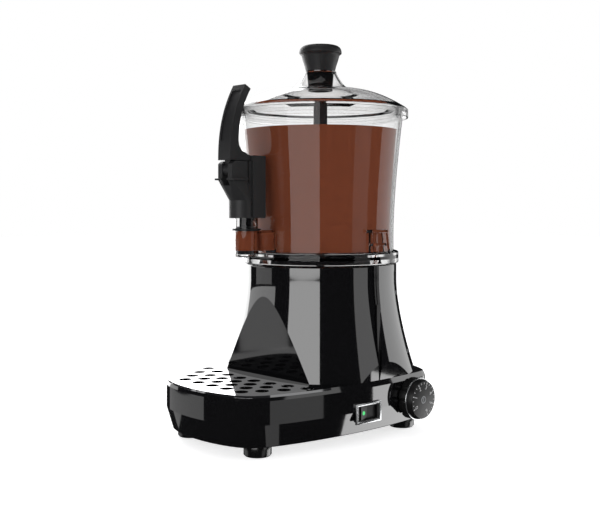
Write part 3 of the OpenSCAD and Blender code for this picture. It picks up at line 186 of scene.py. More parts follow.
world_links.new(lighting.outputs[0], seen_through.inputs[1])
world_links.new(seen_through.outputs[0], seen_white.inputs[1])
dim = world_nodes.new("ShaderNodeMixRGB")
dim.inputs["Color1"].default_value = STUDIO_DIM
dim.inputs["Color2"].default_value = STUDIO_DARK
world_links.new(light_path.outputs["Is Glossy Ray"], dim.inputs["Fac"])
pick = world_nodes.new("ShaderNodeMixRGB")
pick.inputs["Color2"].default_value = (1, 1, 1, 1)
world_links.new(seen_white.outputs[0], pick.inputs["Fac"])
world_links.new(dim.outputs["Color"], pick.inputs["Color1"])
background = world_nodes.new("ShaderNodeBackground")
world_links.new(pick.outputs["Color"], background.inputs["Color"])
world_links.new(background.outputs[0], world_out.inputs[0])
print("the world has", len(world_nodes), "nodes")

# %% [markdown]
# The floor is a pale sheet just under the feet. It glows to the camera, so that it meets the
# white background, and it still takes the machine's shadow. To reflections it is transparent, so
# the gloss shows the lamps that stand below it.

# %% Floor
FLOOR_SIZE, FLOOR_DROP, FLOOR_GREY, FLOOR_GLOW = 12, 0.0004, 0.8, 0.72
bpy.ops.mesh.primitive_plane_add(size=FLOOR_SIZE, location=(0, 0, -FLOOR_DROP))
floor = bpy.context.object
floor.name = "floor"
floor_paint = bpy.data.materials.new("floor_paint")
floor_paint.use_nodes = True
floor_nodes = floor_paint.node_tree.nodes
floor_links = floor_paint.node_tree.links
floor_nodes.clear()
floor_out = floor_nodes.new("ShaderNodeOutputMaterial")
floor_diffuse = floor_nodes.new("ShaderNodeBsdfDiffuse")
floor_diffuse.inputs["Color"].default_value = (FLOOR_GREY, FLOOR_GREY, FLOOR_GREY, 1)
floor_glow = floor_nodes.new("ShaderNodeEmission")
floor_path = floor_nodes.new("ShaderNodeLightPath")
floor_seen = floor_nodes.new("ShaderNodeMath")
floor_seen.operation = "MAXIMUM"
floor_links.new(floor_path.outputs["Is Camera Ray"], floor_seen.inputs[0])
floor_links.new(floor_path.outputs["Is Transmission Ray"], floor_seen.inputs[1])
floor_strength = floor_nodes.new("ShaderNodeMath")
floor_strength.operation = "MULTIPLY"
floor_strength.inputs[1].default_value = FLOOR_GLOW
floor_links.new(floor_seen.outputs[0], floor_strength.inputs[0])
floor_links.new(floor_strength.outputs[0], floor_glow.inputs["Strength"])
floor_add = floor_nodes.new("ShaderNodeAddShader")
floor_links.new(floor_diffuse.outputs[0], floor_add.inputs[0])
floor_links.new(floor_glow.outputs[0], floor_add.inputs[1])
floor_open = floor_nodes.new("ShaderNodeBsdfTransparent")
floor_mix = floor_nodes.new("ShaderNodeMixShader")
floor_links.new(floor_path.outputs["Is Glossy Ray"], floor_mix.inputs["Fac"])
floor_links.new(floor_add.outputs[0], floor_mix.inputs[1])
floor_links.new(floor_open.outputs[0], floor_mix.inputs[2])
floor_links.new(floor_mix.outputs[0], floor_out.inputs[0])
floor.data.materials.append(floor_paint)
print("the floor is", round(floor.dimensions.x), "m wide")

# %% [markdown]
# ## Finishes
# A real surface is never even. Each finish has a fine grain that changes how sharply it
# reflects, and a shallow bump, both laid through the piece by its own coordinates.

# %% A finish with grain
def finish(name, colour, roughness, spread=0.05, grain=400.0, bump=0.02, stretch=(1, 1, 1), **sockets):
    """A Principled material whose roughness and bump follow a fine noise."""
    paint = bpy.data.materials.new(name)
    paint.use_nodes = True
    nodes, links = paint.node_tree.nodes, paint.node_tree.links
    shader = nodes["Principled BSDF"]
    shader.inputs["Base Color"].default_value = (*colour, 1)
    for socket, value in sockets.items():
        shader.inputs[socket.replace("_", " ")].default_value = value
    place = nodes.new("ShaderNodeTexCoord")
    lay = nodes.new("ShaderNodeMapping")
    lay.inputs["Scale"].default_value = stretch
    noise = nodes.new("ShaderNodeTexNoise")
    noise.inputs["Scale"].default_value = grain
    noise.inputs["Detail"].default_value = 4
    spread_map = nodes.new("ShaderNodeMapRange")
    spread_map.inputs["To Min"].default_value = max(0.0, roughness - spread)
    spread_map.inputs["To Max"].default_value = min(1.0, roughness + spread)
    relief = nodes.new("ShaderNodeBump")
    relief.inputs["Strength"].default_value = bump
    relief.inputs["Distance"].default_value = 0.0004
    links.new(place.outputs["Object"], lay.inputs["Vector"])
    links.new(lay.outputs[0], noise.inputs["Vector"])
    links.new(noise.outputs["Fac"], spread_map.inputs["Value"])
    links.new(spread_map.outputs[0], shader.inputs["Roughness"])
    links.new(noise.outputs["Fac"], relief.inputs["Height"])
    links.new(relief.outputs[0], shader.inputs["Normal"])
    return paint


gloss_black = finish("gloss_black", (0.004, 0.004, 0.0045), 0.045, 0.02, 90, 0.003, IOR=2.2)
satin_black = finish("satin_black", (0.022, 0.022, 0.023), 0.46, 0.07, 900, 0.12, IOR=1.5)
deep_black = finish("deep_black", (0.008, 0.008, 0.008), 0.4, 0.06, 700, 0.08, IOR=1.5)
rubber = finish("rubber", (0.006, 0.006, 0.006), 0.16, 0.05, 500, 0.04, IOR=1.9)
polished = finish("polished_steel", (0.8, 0.8, 0.81), 0.06, 0.03, 60, 0.006, Metallic=1.0)
brushed = finish("brushed_steel", (0.62, 0.62, 0.63), 0.24, 0.08, 900, 0.1, (1, 1, 0.03), Metallic=1.0)
zinc = finish("zinc_plate", (0.55, 0.56, 0.58), 0.38, 0.1, 250, 0.08, Metallic=1.0)
silver_trim = finish("silver_trim", (0.72, 0.73, 0.74), 0.2, 0.05, 300, 0.03, Metallic=1.0)
copper = finish("copper", (0.72, 0.4, 0.25), 0.3, 0.08, 300, 0.06, Metallic=1.0)
cast_grey = finish("cast_grey", (0.13, 0.14, 0.15), 0.55, 0.1, 500, 0.3, IOR=1.5)
phenolic = finish("phenolic", (0.55, 0.45, 0.32), 0.5, 0.1, 500, 0.15, IOR=1.5)
nylon = finish("nylon", (0.75, 0.73, 0.68), 0.42, 0.08, 400, 0.08, IOR=1.5)
sheath = finish("heater_sheath", (0.2, 0.18, 0.17), 0.5, 0.12, 300, 0.2, Metallic=0.6)
print_white = finish("print_white", (0.78, 0.78, 0.78), 0.5, 0.08, 900, 0.05, IOR=1.5)
print_grey = finish("print_grey", (0.3, 0.31, 0.32), 0.45, 0.08, 900, 0.05, IOR=1.5)
clear = finish("clear_plastic", (1, 1, 1), 0.0, 0.012, 120, 0.002, IOR=1.45, Transmission_Weight=1.0)
lamp_green = finish("lamp_green", (0.02, 0.5, 0.12), 0.2, 0.05, 400, 0.02, Emission_Strength=0.6)
lamp_green.node_tree.nodes["Principled BSDF"].inputs["Emission Color"].default_value = (0.02, 0.7, 0.15, 1)
drink_brown = finish("hot_chocolate", (0.254, 0.072, 0.035), 0.7, 0.05, 40, 0.0, IOR=1.02)
dark_acetal = finish("dark_acetal", (0.03, 0.03, 0.032), 0.3, 0.06, 500, 0.04, IOR=1.5)

# %% [markdown]
# ## Shared ways of making a piece
# Most round pieces are turned: half a section is drawn as radius and height, and spun about
# an upright axis. Sharp edges are marked by their angle, so that the rest shades smoothly.

# %% Helpers
def settle(bm, name, paint, body, replaced=(), sharp_deg=32):
    """Turns a bmesh into a finished piece that rides on a body."""
    for face in bm.faces:
        face.smooth = True
    for edge in bm.edges:
        if len(edge.link_faces) == 2:
            edge.smooth = edge.calc_face_angle(0) < math.radians(sharp_deg)
    mesh = bpy.data.meshes.new(name)
    bm.to_mesh(mesh)
    bm.free()
    mesh.materials.append(paint)
    piece = bpy.data.objects.new(name, mesh)
    bpy.context.scene.collection.objects.link(piece)
    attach(piece, body)
    if replaced:
        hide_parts(*replaced)
    print(name, len(mesh.polygons), "faces")
    return piece


def arc(x, z, r, start, end, steps=8):
    """Points on a round corner, in degrees, as (radius, height) pairs."""
    turns = [math.radians(start + (end - start) * i / steps) for i in range(steps + 1)]
    return [(x + r * math.cos(t), z + r * math.sin(t)) for t in turns]


def turned(section, segments=96, centre=(0, 0), closed=True):
    """A bmesh spun from a section given as (radius, height) in millimetres."""
    bm = bmesh.new()
    points = [bm.verts.new(at(centre[0] + r, centre[1], z)) for r, z in section]
    pairs = list(zip(points, points[1:]))
    if closed:
        pairs.append((points[-1], points[0]))
    edges = [bm.edges.new(pair) for pair in pairs]
    bmesh.ops.spin(bm, geom=points + edges, cent=at(centre[0], centre[1], 0), axis=(0, 0, 1),
                   angle=math.tau, steps=segments, use_merge=True)
    bmesh.ops.remove_doubles(bm, verts=bm.verts, dist=1e-6)
    bmesh.ops.recalc_face_normals(bm, faces=bm.faces)
    return bm


def block(bm, low, high):
    """Adds a box between two corners in millimetres; returns its vertices."""
    made = bmesh.ops.create_cube(bm, size=1)["verts"]
    a, b = at(*low), at(*high)
    bmesh.ops.scale(bm, verts=made, vec=b - a)
    bmesh.ops.translate(bm, verts=made, vec=(a + b) / 2)
    return made


def soften(bm, width, segments=2, angle_deg=30):
    """Rounds every edge that is sharper than an angle."""
    limit = math.radians(angle_deg)
    edges = [e for e in bm.edges if len(e.link_faces) == 2 and e.calc_face_angle(0) > limit]
    bmesh.ops.bevel(bm, geom=edges, offset=width * MM, segments=segments, profile=0.5,
                    affect="EDGES", material=-1, clamp_overlap=True)


def copied(node):
    """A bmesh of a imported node, with its loose triangles joined."""
    bm = bmesh.new()
    bm.from_mesh(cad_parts[node].data)
    bmesh.ops.remove_doubles(bm, verts=bm.verts, dist=1e-5)
    return bm


# %% [markdown]
# The other pieces are outlines moved along a line, lofts through outlines at several heights,
# and round bars. Booleans then cut the openings, as a cutter would cut them from the stock.

# %% More ways of making a piece
def swept(points, move):
    """The solid that a flat outline makes when it is moved along a straight line, in mm."""
    bm = bmesh.new()
    face = bm.faces.new([bm.verts.new(at(*p)) for p in points])
    grown = bmesh.ops.extrude_face_region(bm, geom=[face])["geom"]
    moved = [v for v in grown if isinstance(v, bmesh.types.BMVert)]
    bmesh.ops.translate(bm, verts=moved, vec=Vector(move) * MM)
    bmesh.ops.recalc_face_normals(bm, faces=bm.faces)
    return bm


def prism(outline, low, high):
    """An upright solid over an outline given as (x, y) pairs."""
    return swept([(x, y, low) for x, y in outline], (0, 0, high - low))


def loft(rings):
    """A solid through outlines at several heights; each ring is (height, outline)."""
    bm = bmesh.new()
    loops = []
    for z, outline in rings:
        verts = [bm.verts.new(at(x, y, z)) for x, y in outline]
        loops.append([bm.edges.new(pair) for pair in zip(verts, verts[1:] + verts[:1])])
    for low, high in zip(loops, loops[1:]):
        bmesh.ops.bridge_loops(bm, edges=low + high)
    bmesh.ops.edgeloop_fill(bm, edges=loops[0])
    bmesh.ops.edgeloop_fill(bm, edges=loops[-1])
    bmesh.ops.recalc_face_normals(bm, faces=bm.faces)
    return bm


def rod(start, end, r1, r2=None, segments=48):
    """A round bar or cone between two places in millimetres."""
    bm = bmesh.new()
    a, b = at(*start), at(*end)
    turn = (b - a).to_track_quat("Z", "Y").to_matrix().to_4x4()
    bmesh.ops.create_cone(bm, cap_ends=True, segments=segments, radius1=r1 * MM,
                          radius2=(r1 if r2 is None else r2) * MM, depth=(b - a).length,
                          matrix=Matrix.Translation((a + b) / 2) @ turn)
    return bm


def box_of(low, high):
    """A plain box between two corners in millimetres."""
    bm = bmesh.new()
    block(bm, low, high)
    return bm


def placed(bm, matrix):
    """The same bmesh, moved by a matrix in metres."""
    bmesh.ops.transform(bm, matrix=matrix, verts=bm.verts)
    return bm


def joined(parts):
    """One bmesh that holds several."""
    whole = bmesh.new()
    for part in parts:
        loose = bpy.data.meshes.new("part")
        part.to_mesh(loose)
        part.free()
        whole.from_mesh(loose)
        bpy.data.meshes.remove(loose)
    return whole


def carved(bm, tools, operation="DIFFERENCE"):
    """The solid after each tool is cut from it, joined to it or crossed with it."""
    def shown(part, name):
        mesh = bpy.data.meshes.new(name)
        part.to_mesh(mesh)
        part.free()
        thing = bpy.data.objects.new(name, mesh)
        bpy.context.scene.collection.objects.link(thing)
        return thing

    stock = shown(bm, "stock")
    for tool in tools:
        cutter = shown(tool, "cutter")
        change = stock.modifiers.new("change", "BOOLEAN")
        change.operation = operation
        change.solver = "EXACT"
        change.object = cutter
        graph = bpy.context.evaluated_depsgraph_get()
        result = bpy.data.meshes.new_from_object(stock.evaluated_get(graph))
        stock.modifiers.clear()
        stock.data = result
        bpy.data.objects.remove(cutter)
    done = bmesh.new()
    done.from_mesh(stock.data)
    bpy.data.objects.remove(stock)
    bmesh.ops.remove_doubles(done, verts=done.verts, dist=2e-6)
    return done


# %% [markdown]
# ## Moulded housing
# The base, the column and the rear cover are glossy mouldings. Gloss shows every facet, so
# they are rebuilt from the same sizes with many fine steps, and their openings are cut after.

# %% The base's outline
BASE_FRONT, BASE_REAR, BASE_HALF_W = 197, 105, 111
FRONT_WALL_R, SIDE_WALL_R, REAR_WALL_R = 178, 560, 192
FRONT_SHARP, REAR_SHARP = 18, 50
SIDE_ARC_Y = 10
MIDDLE_Y = (BASE_REAR - BASE_FRONT) / 2
BASE_Z, SKIRT_Z, DECK_Z = 12, 37, 67.8
SKIRT_IN, SHOULDER_H, SHOULDER_IN, SHELL = 7, 5.8, 2.5, 3
GRID_SEAT_Z, GRID_REAR_R, GRID_REAR_Y = 65.3, 280, 105


def reach(angle, x, y, r):
    """How far a ray from the outline's middle goes before it meets a circle."""
    along = x * math.cos(angle) + y * math.sin(angle)
    return along + math.sqrt(along * along - x * x - y * y + r * r)


def base_outline(inset, count=240):
    """The four curved walls, blended at their corners, as (x, y) pairs."""
    outline = []
    for i in range(count):
        a = math.tau * i / count
        sharp = REAR_SHARP if math.sin(a) > 0 else FRONT_SHARP
        walls = [reach(a, 0, FRONT_WALL_R - BASE_FRONT - MIDDLE_Y, FRONT_WALL_R - inset),
                 reach(a, BASE_HALF_W - SIDE_WALL_R, SIDE_ARC_Y - MIDDLE_Y, SIDE_WALL_R - inset),
                 reach(a, SIDE_WALL_R - BASE_HALF_W, SIDE_ARC_Y - MIDDLE_Y, SIDE_WALL_R - inset),
                 reach(a, 0, BASE_REAR - REAR_WALL_R - MIDDLE_Y, REAR_WALL_R - inset)]
        r = sum(wall ** -sharp for wall in walls) ** (-1 / sharp)
        outline.append((r * math.cos(a), MIDDLE_Y + r * math.sin(a)))
    return outline


def front_outline(inset, arc_r):
    """The part of that outline ahead of the grid's curved rear edge."""
    arc_y = GRID_REAR_R - GRID_REAR_Y
    front = [(x, y) for x, y in base_outline(inset, 480) if math.hypot(x, y - arc_y) > arc_r]
    first = math.atan2(front[0][1] - arc_y, front[0][0])
    last = math.atan2(front[-1][1] - arc_y, front[-1][0])
    back = [last + (first - last) * i / 48 for i in range(1, 48)]
    return front + [(arc_r * math.cos(a), arc_y + arc_r * math.sin(a)) for a in back]


print("outline points:", len(base_outline(0)), "front:", len(front_outline(0, GRID_REAR_R)))

# %% [markdown]
# The base is a hollow moulding that is open below. Its skin and the room inside it are two lofts
# from the same outline, so that the wall keeps its thickness. The openings for the motor, the
# tray, the dial, the switch and the cord's gland are cut from the skin together with the room.

# %% Base housing
SWITCH_Y, SWITCH_Z, DIAL_Y, DIAL_Z = -36.5, 35, 37, 41
SWITCH_TILT = -math.asin((SIDE_ARC_Y - SWITCH_Y) / SIDE_WALL_R)
SWITCH_X = BASE_HALF_W - SIDE_WALL_R + math.sqrt(SIDE_WALL_R ** 2 - (SIDE_ARC_Y - SWITCH_Y) ** 2)
SWITCH_PLACE = Matrix.Translation(at(SWITCH_X, SWITCH_Y, SWITCH_Z)) @ Matrix.Rotation(SWITCH_TILT, 4, "Z") \
    @ Matrix.Translation(-at(0, 0, 0))
GLAND_X, GLAND_Y, GLAND_Z = -60, 95.4, 34
GLAND_BOSS_R, GLAND_HOLE_R, DIAL_HOLE_R = 13.5, 8.3, 6.3
EDGE_CUT, MOTOR_BORE_R = 0.8, 84


def gland_boss():
    """The round boss at the rear that carries the cord's gland."""
    return rod((GLAND_X, GLAND_Y - 9.6, GLAND_Z), (GLAND_X, GLAND_Y + 4, GLAND_Z), GLAND_BOSS_R)


skin = loft([(BASE_Z, base_outline(SKIRT_IN + EDGE_CUT)), (BASE_Z + EDGE_CUT, base_outline(SKIRT_IN)),
             (SKIRT_Z, base_outline(0)), (DECK_Z - SHOULDER_H, base_outline(0)),
             (DECK_Z, base_outline(SHOULDER_IN))])
skin = carved(skin, [gland_boss()], "UNION")
room = loft([(BASE_Z - 1, base_outline(SKIRT_IN + SHELL)), (SKIRT_Z, base_outline(SHELL)),
             (DECK_Z - SHELL, base_outline(SHELL + 1.2))])
room = carved(room, [gland_boss()])
base_bm = carved(skin, [
    room,
    turned([(0, 60), (MOTOR_BORE_R, 60), (MOTOR_BORE_R, 70), (0, 70)], 96),
    prism(front_outline(1.3, GRID_REAR_R), GRID_SEAT_Z, DECK_Z + 2),
    prism(front_outline(6, GRID_REAR_R + 3), 55, DECK_Z),
    rod((91, DIAL_Y, DIAL_Z), (131, DIAL_Y, DIAL_Z), DIAL_HOLE_R),
    placed(box_of((-20, -17.05, -9.5), (20, 17.05, 9.5)), SWITCH_PLACE),
    rod((GLAND_X, GLAND_Y - 20, GLAND_Z), (GLAND_X, GLAND_Y + 20, GLAND_Z), GLAND_HOLE_R),
])
tray_ring = carved(prism(front_outline(2.7, GRID_REAR_R - 0.3), 60.3, GRID_SEAT_Z), [
    prism(front_outline(9, GRID_REAR_R + 6), 60, 63.2), prism(front_outline(6, GRID_REAR_R + 3), 63.1, 66)])
BASE_NODES = ["base_shell_front", "base_shell_right", "base_shell_rear", "base_shell_left", "base_deck",
              "base_rim"]
settle(joined([base_bm, tray_ring]), "base_housing", gloss_black, "stand", BASE_NODES, 12)

# %% [markdown]
# The column is turned, because its neck is round, and then trimmed: by the base's outline where
# it flares, by a flat panel in front and by a groove down each side. The water tank and motor
# stand inside it, so it is cut hollow with a ledge near the top.

# %% Column
NECK_R, FLARE_W, FLARE_START_Z, COLUMN_TOP_Z = 92.4, 21.6, 175, 196
PANEL_LOW_Y, PANEL_TOP_Y, PANEL_TOP_Z = 89.5, 94, 172
GROOVE_DEEP, COVER_ANGLE = 5, 25


def column_r(z):
    """Radius of the column, which flares out towards the deck."""
    return NECK_R + FLARE_W * max(0, (FLARE_START_Z - z) / (FLARE_START_Z - DECK_Z)) ** 1.55


def column_solid(inset, segments=216):
    """The column as a turned solid, drawn in by inset."""
    top, edge = COLUMN_TOP_Z - inset, max(0.5, 3 - inset)
    side = [(column_r(z) - inset, z) for z in [DECK_Z + i * (top - edge - DECK_Z) / 30 for i in range(31)]]
    crown = arc(NECK_R - inset - edge, top - edge, edge, 0, 90, 6)[1:]
    return turned([(0, DECK_Z)] + side + crown + [(0, top)], segments)


def wedge(gap):
    """The space behind the column that the rear cover takes up."""
    out = 222
    tilt = math.radians(COVER_ANGLE)
    lift = gap / math.cos(tilt)
    outline = [(0, lift), (out, out * math.tan(tilt) + lift), (out, 444), (-out, 444),
               (-out, out * math.tan(tilt) + lift)]
    return prism(outline, DECK_Z + gap, COLUMN_TOP_Z - 9 - gap)


def groove_cutter():
    """A slot down each side that is wide at the top and closes almost to a point."""
    slot = [(-16, 200), (-16, 60), (-14, 60), (-14, DECK_Z), (2, 150), (2, 200)]
    bar = swept([(-115, y, z) for y, z in slot], (230, 0, 0))
    return carved(bar, [turned([(0, 58)] + [(column_r(z) - GROOVE_DEEP, z) for z in range(58, 206, 6)]
                               + [(0, 202)], 216)])


panel_side = [(-200, DECK_Z - 2), (-PANEL_LOW_Y + 0.08, DECK_Z - 2), (-PANEL_TOP_Y, PANEL_TOP_Z),
              (-200, PANEL_TOP_Z)]
column_bm = carved(column_solid(0), [prism(base_outline(SHOULDER_IN), 60, 210)], "INTERSECT")
cover_bm = carved(carved(column_solid(0), [prism(base_outline(SHOULDER_IN), 60, 210)], "INTERSECT"),
                  [wedge(0.3)], "INTERSECT")
behind_cover = carved(wedge(0), [column_solid(3.3, 144)])
column_bm = carved(column_bm, [
    swept([(-115, y, z) for y, z in panel_side], (230, 0, 0)),
    groove_cutter(),
    behind_cover,
    turned([(0, 60), (MOTOR_BORE_R, 60), (MOTOR_BORE_R, 193), (79, 193), (79, 194.8), (86.3, 194.8),
            (86.3, 200), (0, 200)], 96),
])
settle(column_bm, "column_housing", gloss_black, "stand", ["column_shell"], 7)

# %% [markdown]
# The rear cover is the part of that same turned shape behind a slanted line, 0.3 mm smaller all
# round, so that a thin dark seam shows. Four round seats take its screws.

# %% Rear cover
SCREW_RISE, TANK_DEPTH, SCREW_DROP = 22, 28, 8
SCREW_HEIGHTS = [DECK_Z + SCREW_RISE, COLUMN_TOP_Z - TANK_DEPTH - SCREW_DROP]
screw_seats = []
for side in (-1, 1):
    for screw_z in SCREW_HEIGHTS:
        heading = math.radians(90 - side * (90 - COVER_ANGLE - 6))
        seat = column_r(screw_z) - 1.6
        seat_floor = (seat * math.cos(heading), seat * math.sin(heading), screw_z)
        seat_mouth = (130 * math.cos(heading), 130 * math.sin(heading), screw_z)
        screw_seats.append(rod(seat_floor, seat_mouth, 3.5, segments=32))
cover_bm = carved(cover_bm, [column_solid(SHELL, 144)] + screw_seats)
settle(cover_bm, "back_cover", gloss_black, "stand", ["rear_cover"], 7)

# %% [markdown]
# The feet are turned rubber pucks with a stepped hole for their screw. One section, spun at four
# places, makes them all alike.

# %% Feet
FOOT_PLACES = [(-57.5, -154), (57.5, -154), (-82, 55), (82, 55)]
foot_profile = [(5.3, 0), (13.5, 0), (15, 1.5), (15, 12), (2.55, 12), (2.55, 4), (5.3, 4)]
feet = []
for foot_place in FOOT_PLACES:
    one = turned(foot_profile, 48, foot_place)
    soften(one, 0.4)
    feet.append(one)
settle(joined(feet), "rubber_feet", rubber, "stand", ["feet"])

# %% [markdown]
# ## Drip tray and grid
# The grid is polished sheet over a dull black tray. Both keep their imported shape, as a copy with
# its triangles joined, so that the curved edges shade smoothly.

# %% Grid and tray
settle(copied("drip_grid"), "polished_grid", polished, "drip_grid", ["drip_grid"], 25)
settle(copied("drip_tray"), "tray", deep_black, "drip_tray", ["drip_tray"], 25)

# %% [markdown]
# ## Bowl, tap tube and drink
# Clear plastic bends light, so its wall has both faces. The drink stops just short of the
# wall, which leaves the thin clear line that shows round it.

# %% Clear bowl
WAIST_R, FLARE, WAIST_Z, RIM_Z, WALL = 89, 12, 235, 378.5, 4
BOWL_Z, FOOT_TOP_Z = 196, 211


def bowl_r(z):
    """Outside radius of the bowl at a height."""
    return WAIST_R + FLARE * max(0, (z - WAIST_Z) / (RIM_Z - WAIST_Z)) ** 1.5


def climb(low, high, steps, inset=0):
    """Points up the bowl's side."""
    return [(bowl_r(z) - inset, z) for z in [low + (high - low) * i / steps for i in range(steps + 1)]]


def lug(side):
    """A lifting lug: a bar on a post and a slanted gusset, with a cross bar between them."""
    low = FOOT_TOP_Z - 3
    bar = box_of((87, -15, low + 25), (97.5, 13, low + 29))
    soften(bar, 0.8)
    parts = [box_of((87, -11, low), (95, -6, low + 25.5)), box_of((87, -11, low + 10), (94, 17, low + 13)),
             swept([(87, 16, low), (87, 20, low), (87, 15, low + 25.5), (87, 11, low + 25.5)], (8, 0, 0))]
    for part in parts:
        soften(part, 0.5)
    whole = carved(bar, parts, "UNION")
    if side < 0:
        axis = Matrix.Translation(at(0, 0, 0))
        placed(whole, axis @ Matrix.Rotation(math.pi, 4, "Z") @ axis.inverted())
    return whole


foot = [(85, BOWL_Z), (93.5, BOWL_Z)] + arc(93.5, BOWL_Z + 1.5, 1.5, -90, 0, 4)[1:]
foot += [(95, FOOT_TOP_Z - 3)] + arc(93, FOOT_TOP_Z - 3, 2, 0, 80, 4)[1:]
rim = [(bowl_r(RIM_Z) + 3.6, RIM_Z - 3.5), (bowl_r(RIM_Z) + 3.6, RIM_Z)]
inside = climb(FOOT_TOP_Z, RIM_Z, 36, WALL)[::-1]
ledge = [(85, 207.5), (80, 207.5), (80, 204.5), (85, 201.5)]
bowl_bm = turned(foot + climb(FOOT_TOP_Z, RIM_Z - 3.5, 36) + rim + inside + ledge, 144)
bowl_bm = carved(bowl_bm, [lug(1), lug(-1)], "UNION")
bowl_bm = carved(bowl_bm, [box_of((-10, -93, 214.3), (10, -81, 227.3))])
settle(bowl_bm, "clear_bowl", clear, "bowl", ["bowl"], 20)

# %% [markdown]
# The tap tube stands ahead of the bowl, and a flat-sided channel brings the drink to it. Tube and
# channel are one clear moulding, so they are joined before their insides are cut.

# %% Clear tap tube
TAP_Y, TUBE_R, TUBE_LOW_Z, TUBE_TOP_Z = -119.7, 13, 206.5, 262.6
CHANNEL_Z, CHANNEL_TOP_Z = 211.3, 236.3
tube = turned([(0, TUBE_LOW_Z), (10.4, TUBE_LOW_Z)] + arc(10.4, TUBE_LOW_Z + 2.6, 2.6, -90, 0, 6)[1:]
              + [(TUBE_R, TUBE_TOP_Z), (0, TUBE_TOP_Z)], 64, (0, TAP_Y))
arch = [(-15, TAP_Y, CHANNEL_Z)] + [(x, TAP_Y, z) for x, z in arc(-9, CHANNEL_TOP_Z - 6, 6, 180, 90, 6)]
arch += [(x, TAP_Y, z) for x, z in arc(9, CHANNEL_TOP_Z - 6, 6, 90, 0, 6)] + [(15, TAP_Y, CHANNEL_Z)]
tube = carved(tube, [swept(arch, (0, 36, 0))], "UNION")
tube = carved(tube, [
    turned([(0, 200), (89.3, 200), (89.3, 300), (0, 300)], 192),
    turned([(0, 200), (8, 200), (8, 209.5), (11.5, 209.5), (11.5, 270), (0, 270)], 64, (0, TAP_Y)),
    box_of((-12.5, -115, 213.6), (12.5, -80, 233.4)),
])
settle(tube, "clear_tap_tube", clear, "bowl", ["tap_tube"], 20)

# %% [markdown]
# The drink is opaque, so a skin of it is enough. A full block would look the same, and it would
# cut through the agitator that turns in its middle.

# %% Hot chocolate
DRINK_LOW, DRINK_TOP = 211, 356
drink_out = [(r - 0.5 - max(0, (z - 300) / 56) * 1.2, z) for r, z in climb(DRINK_LOW, DRINK_TOP, 24, WALL)]
drink_in = [(r - 3.5, z) for r, z in drink_out[1:-1]]
drink_section = drink_out + [(9.2, DRINK_TOP), (9.2, DRINK_TOP - 3)] + drink_in[::-1]
drink_section += [(drink_out[0][0] - 3.5, DRINK_LOW)]
settle(turned(drink_section, 144), "hot_chocolate_in_bowl", drink_brown, "bowl")

# %% [markdown]
# In the tap and the channel the drink wets the wall. It reaches 0.1 mm into the plastic, so that
# no air lies between them and no bright line shows.

# %% Hot chocolate in the tap
SKIN_R, SKIN_INNER_R, SKIN_LOW_Z, SKIN_TOP_Z = 11.6, 10.9, 214, 235.8
tap_skin = [(SKIN_INNER_R, SKIN_LOW_Z), (SKIN_R, SKIN_LOW_Z), (SKIN_R, SKIN_TOP_Z),
            (SKIN_INNER_R, SKIN_TOP_Z)]
settle(turned(tap_skin, 64, (0, TAP_Y)), "hot_chocolate_in_tap", drink_brown, "bowl")
channel_bm = box_of((-12.6, -108, 213.5), (12.6, -89.6, 233.5))
soften(channel_bm, 1.2, 3)
settle(channel_bm, "hot_chocolate_in_channel", drink_brown, "bowl")

# %% [markdown]
# ## Lid and knob
# The lid is a clear dome with a concave cone in its middle; the knob stands on the cone, and
# its black collar shows through the clear wall.

# %% Lid
CONE_TOP_R, CONE_FOOT_R, LID_R = 19.4, 43.6, 106.7
LID_RIM_Z, DOME_Z, CONE_Z = 381, 405, 427


def lid_surface(inset, steps=20):
    """The lid's top from the cone out to the rim, drawn in by its wall."""
    cone = []
    for i in range(steps + 1):
        r = CONE_TOP_R + i * (CONE_FOOT_R - CONE_TOP_R) / steps
        z = DOME_Z + (CONE_Z - DOME_Z) * ((CONE_FOOT_R - r) / (CONE_FOOT_R - CONE_TOP_R)) ** 2.4
        cone.append((r - inset * 0.9, z - inset * 0.5))
    dome = []
    for i in range(1, steps + 1):
        r = CONE_FOOT_R + i * (LID_R - 2 - CONE_FOOT_R) / steps
        z = LID_RIM_Z + (DOME_Z - LID_RIM_Z) * (1 - ((r - CONE_FOOT_R) / (LID_R - CONE_FOOT_R)) ** 1.75)
        dome.append((r - inset * 0.3, z - inset))
    return cone + dome


rim_in = bowl_r(RIM_Z) + 3.9
spigot = bowl_r(RIM_Z - 10) - WALL - 0.3
lid_section = lid_surface(0) + arc(LID_R - 1, LID_RIM_Z - 1, 1, 90, 0, 4)
lid_section += [(LID_R, 371), (rim_in, 371), (rim_in, RIM_Z), (spigot, RIM_Z), (spigot, RIM_Z - 10)]
lid_section += [(spigot - 2, RIM_Z - 10), (spigot - 2, RIM_Z + 2)]
lid_section += lid_surface(2.5)[:-2][::-1]
settle(turned(lid_section, 128), "clear_lid", clear, "lid", ["lid"], 35)

# %% Collar and knob
settle(copied("lid_collar"), "knob_collar", gloss_black, "lid", ["lid_collar"], 25)
knob_section = [(3.05, 428), (17.2, 428)] + arc(17.2, 428.6, 0.6, -80, 0, 3)
knob_section += [(19.4, 435), (21.4, 441), (22.9, 446.2), (23.4, 448)]
knob_section += arc(24.2, 451.2, 1.9, -60, 20, 5) + arc(18.5, 452.2, 7.4, 10, 78, 8)
knob_section += [(14, 459.8), (7, 460), (0, 460), (0, 440), (3.05, 440)]
settle(turned(knob_section, 96), "knob", satin_black, "lid", ["lid_knob"], 38)

# %% [markdown]
# ## Tap
# The cap and the pull lever are satin black mouldings. A ladder of small slots parts the cap's
# front from the block behind it, and the lever's front has a sunk panel.

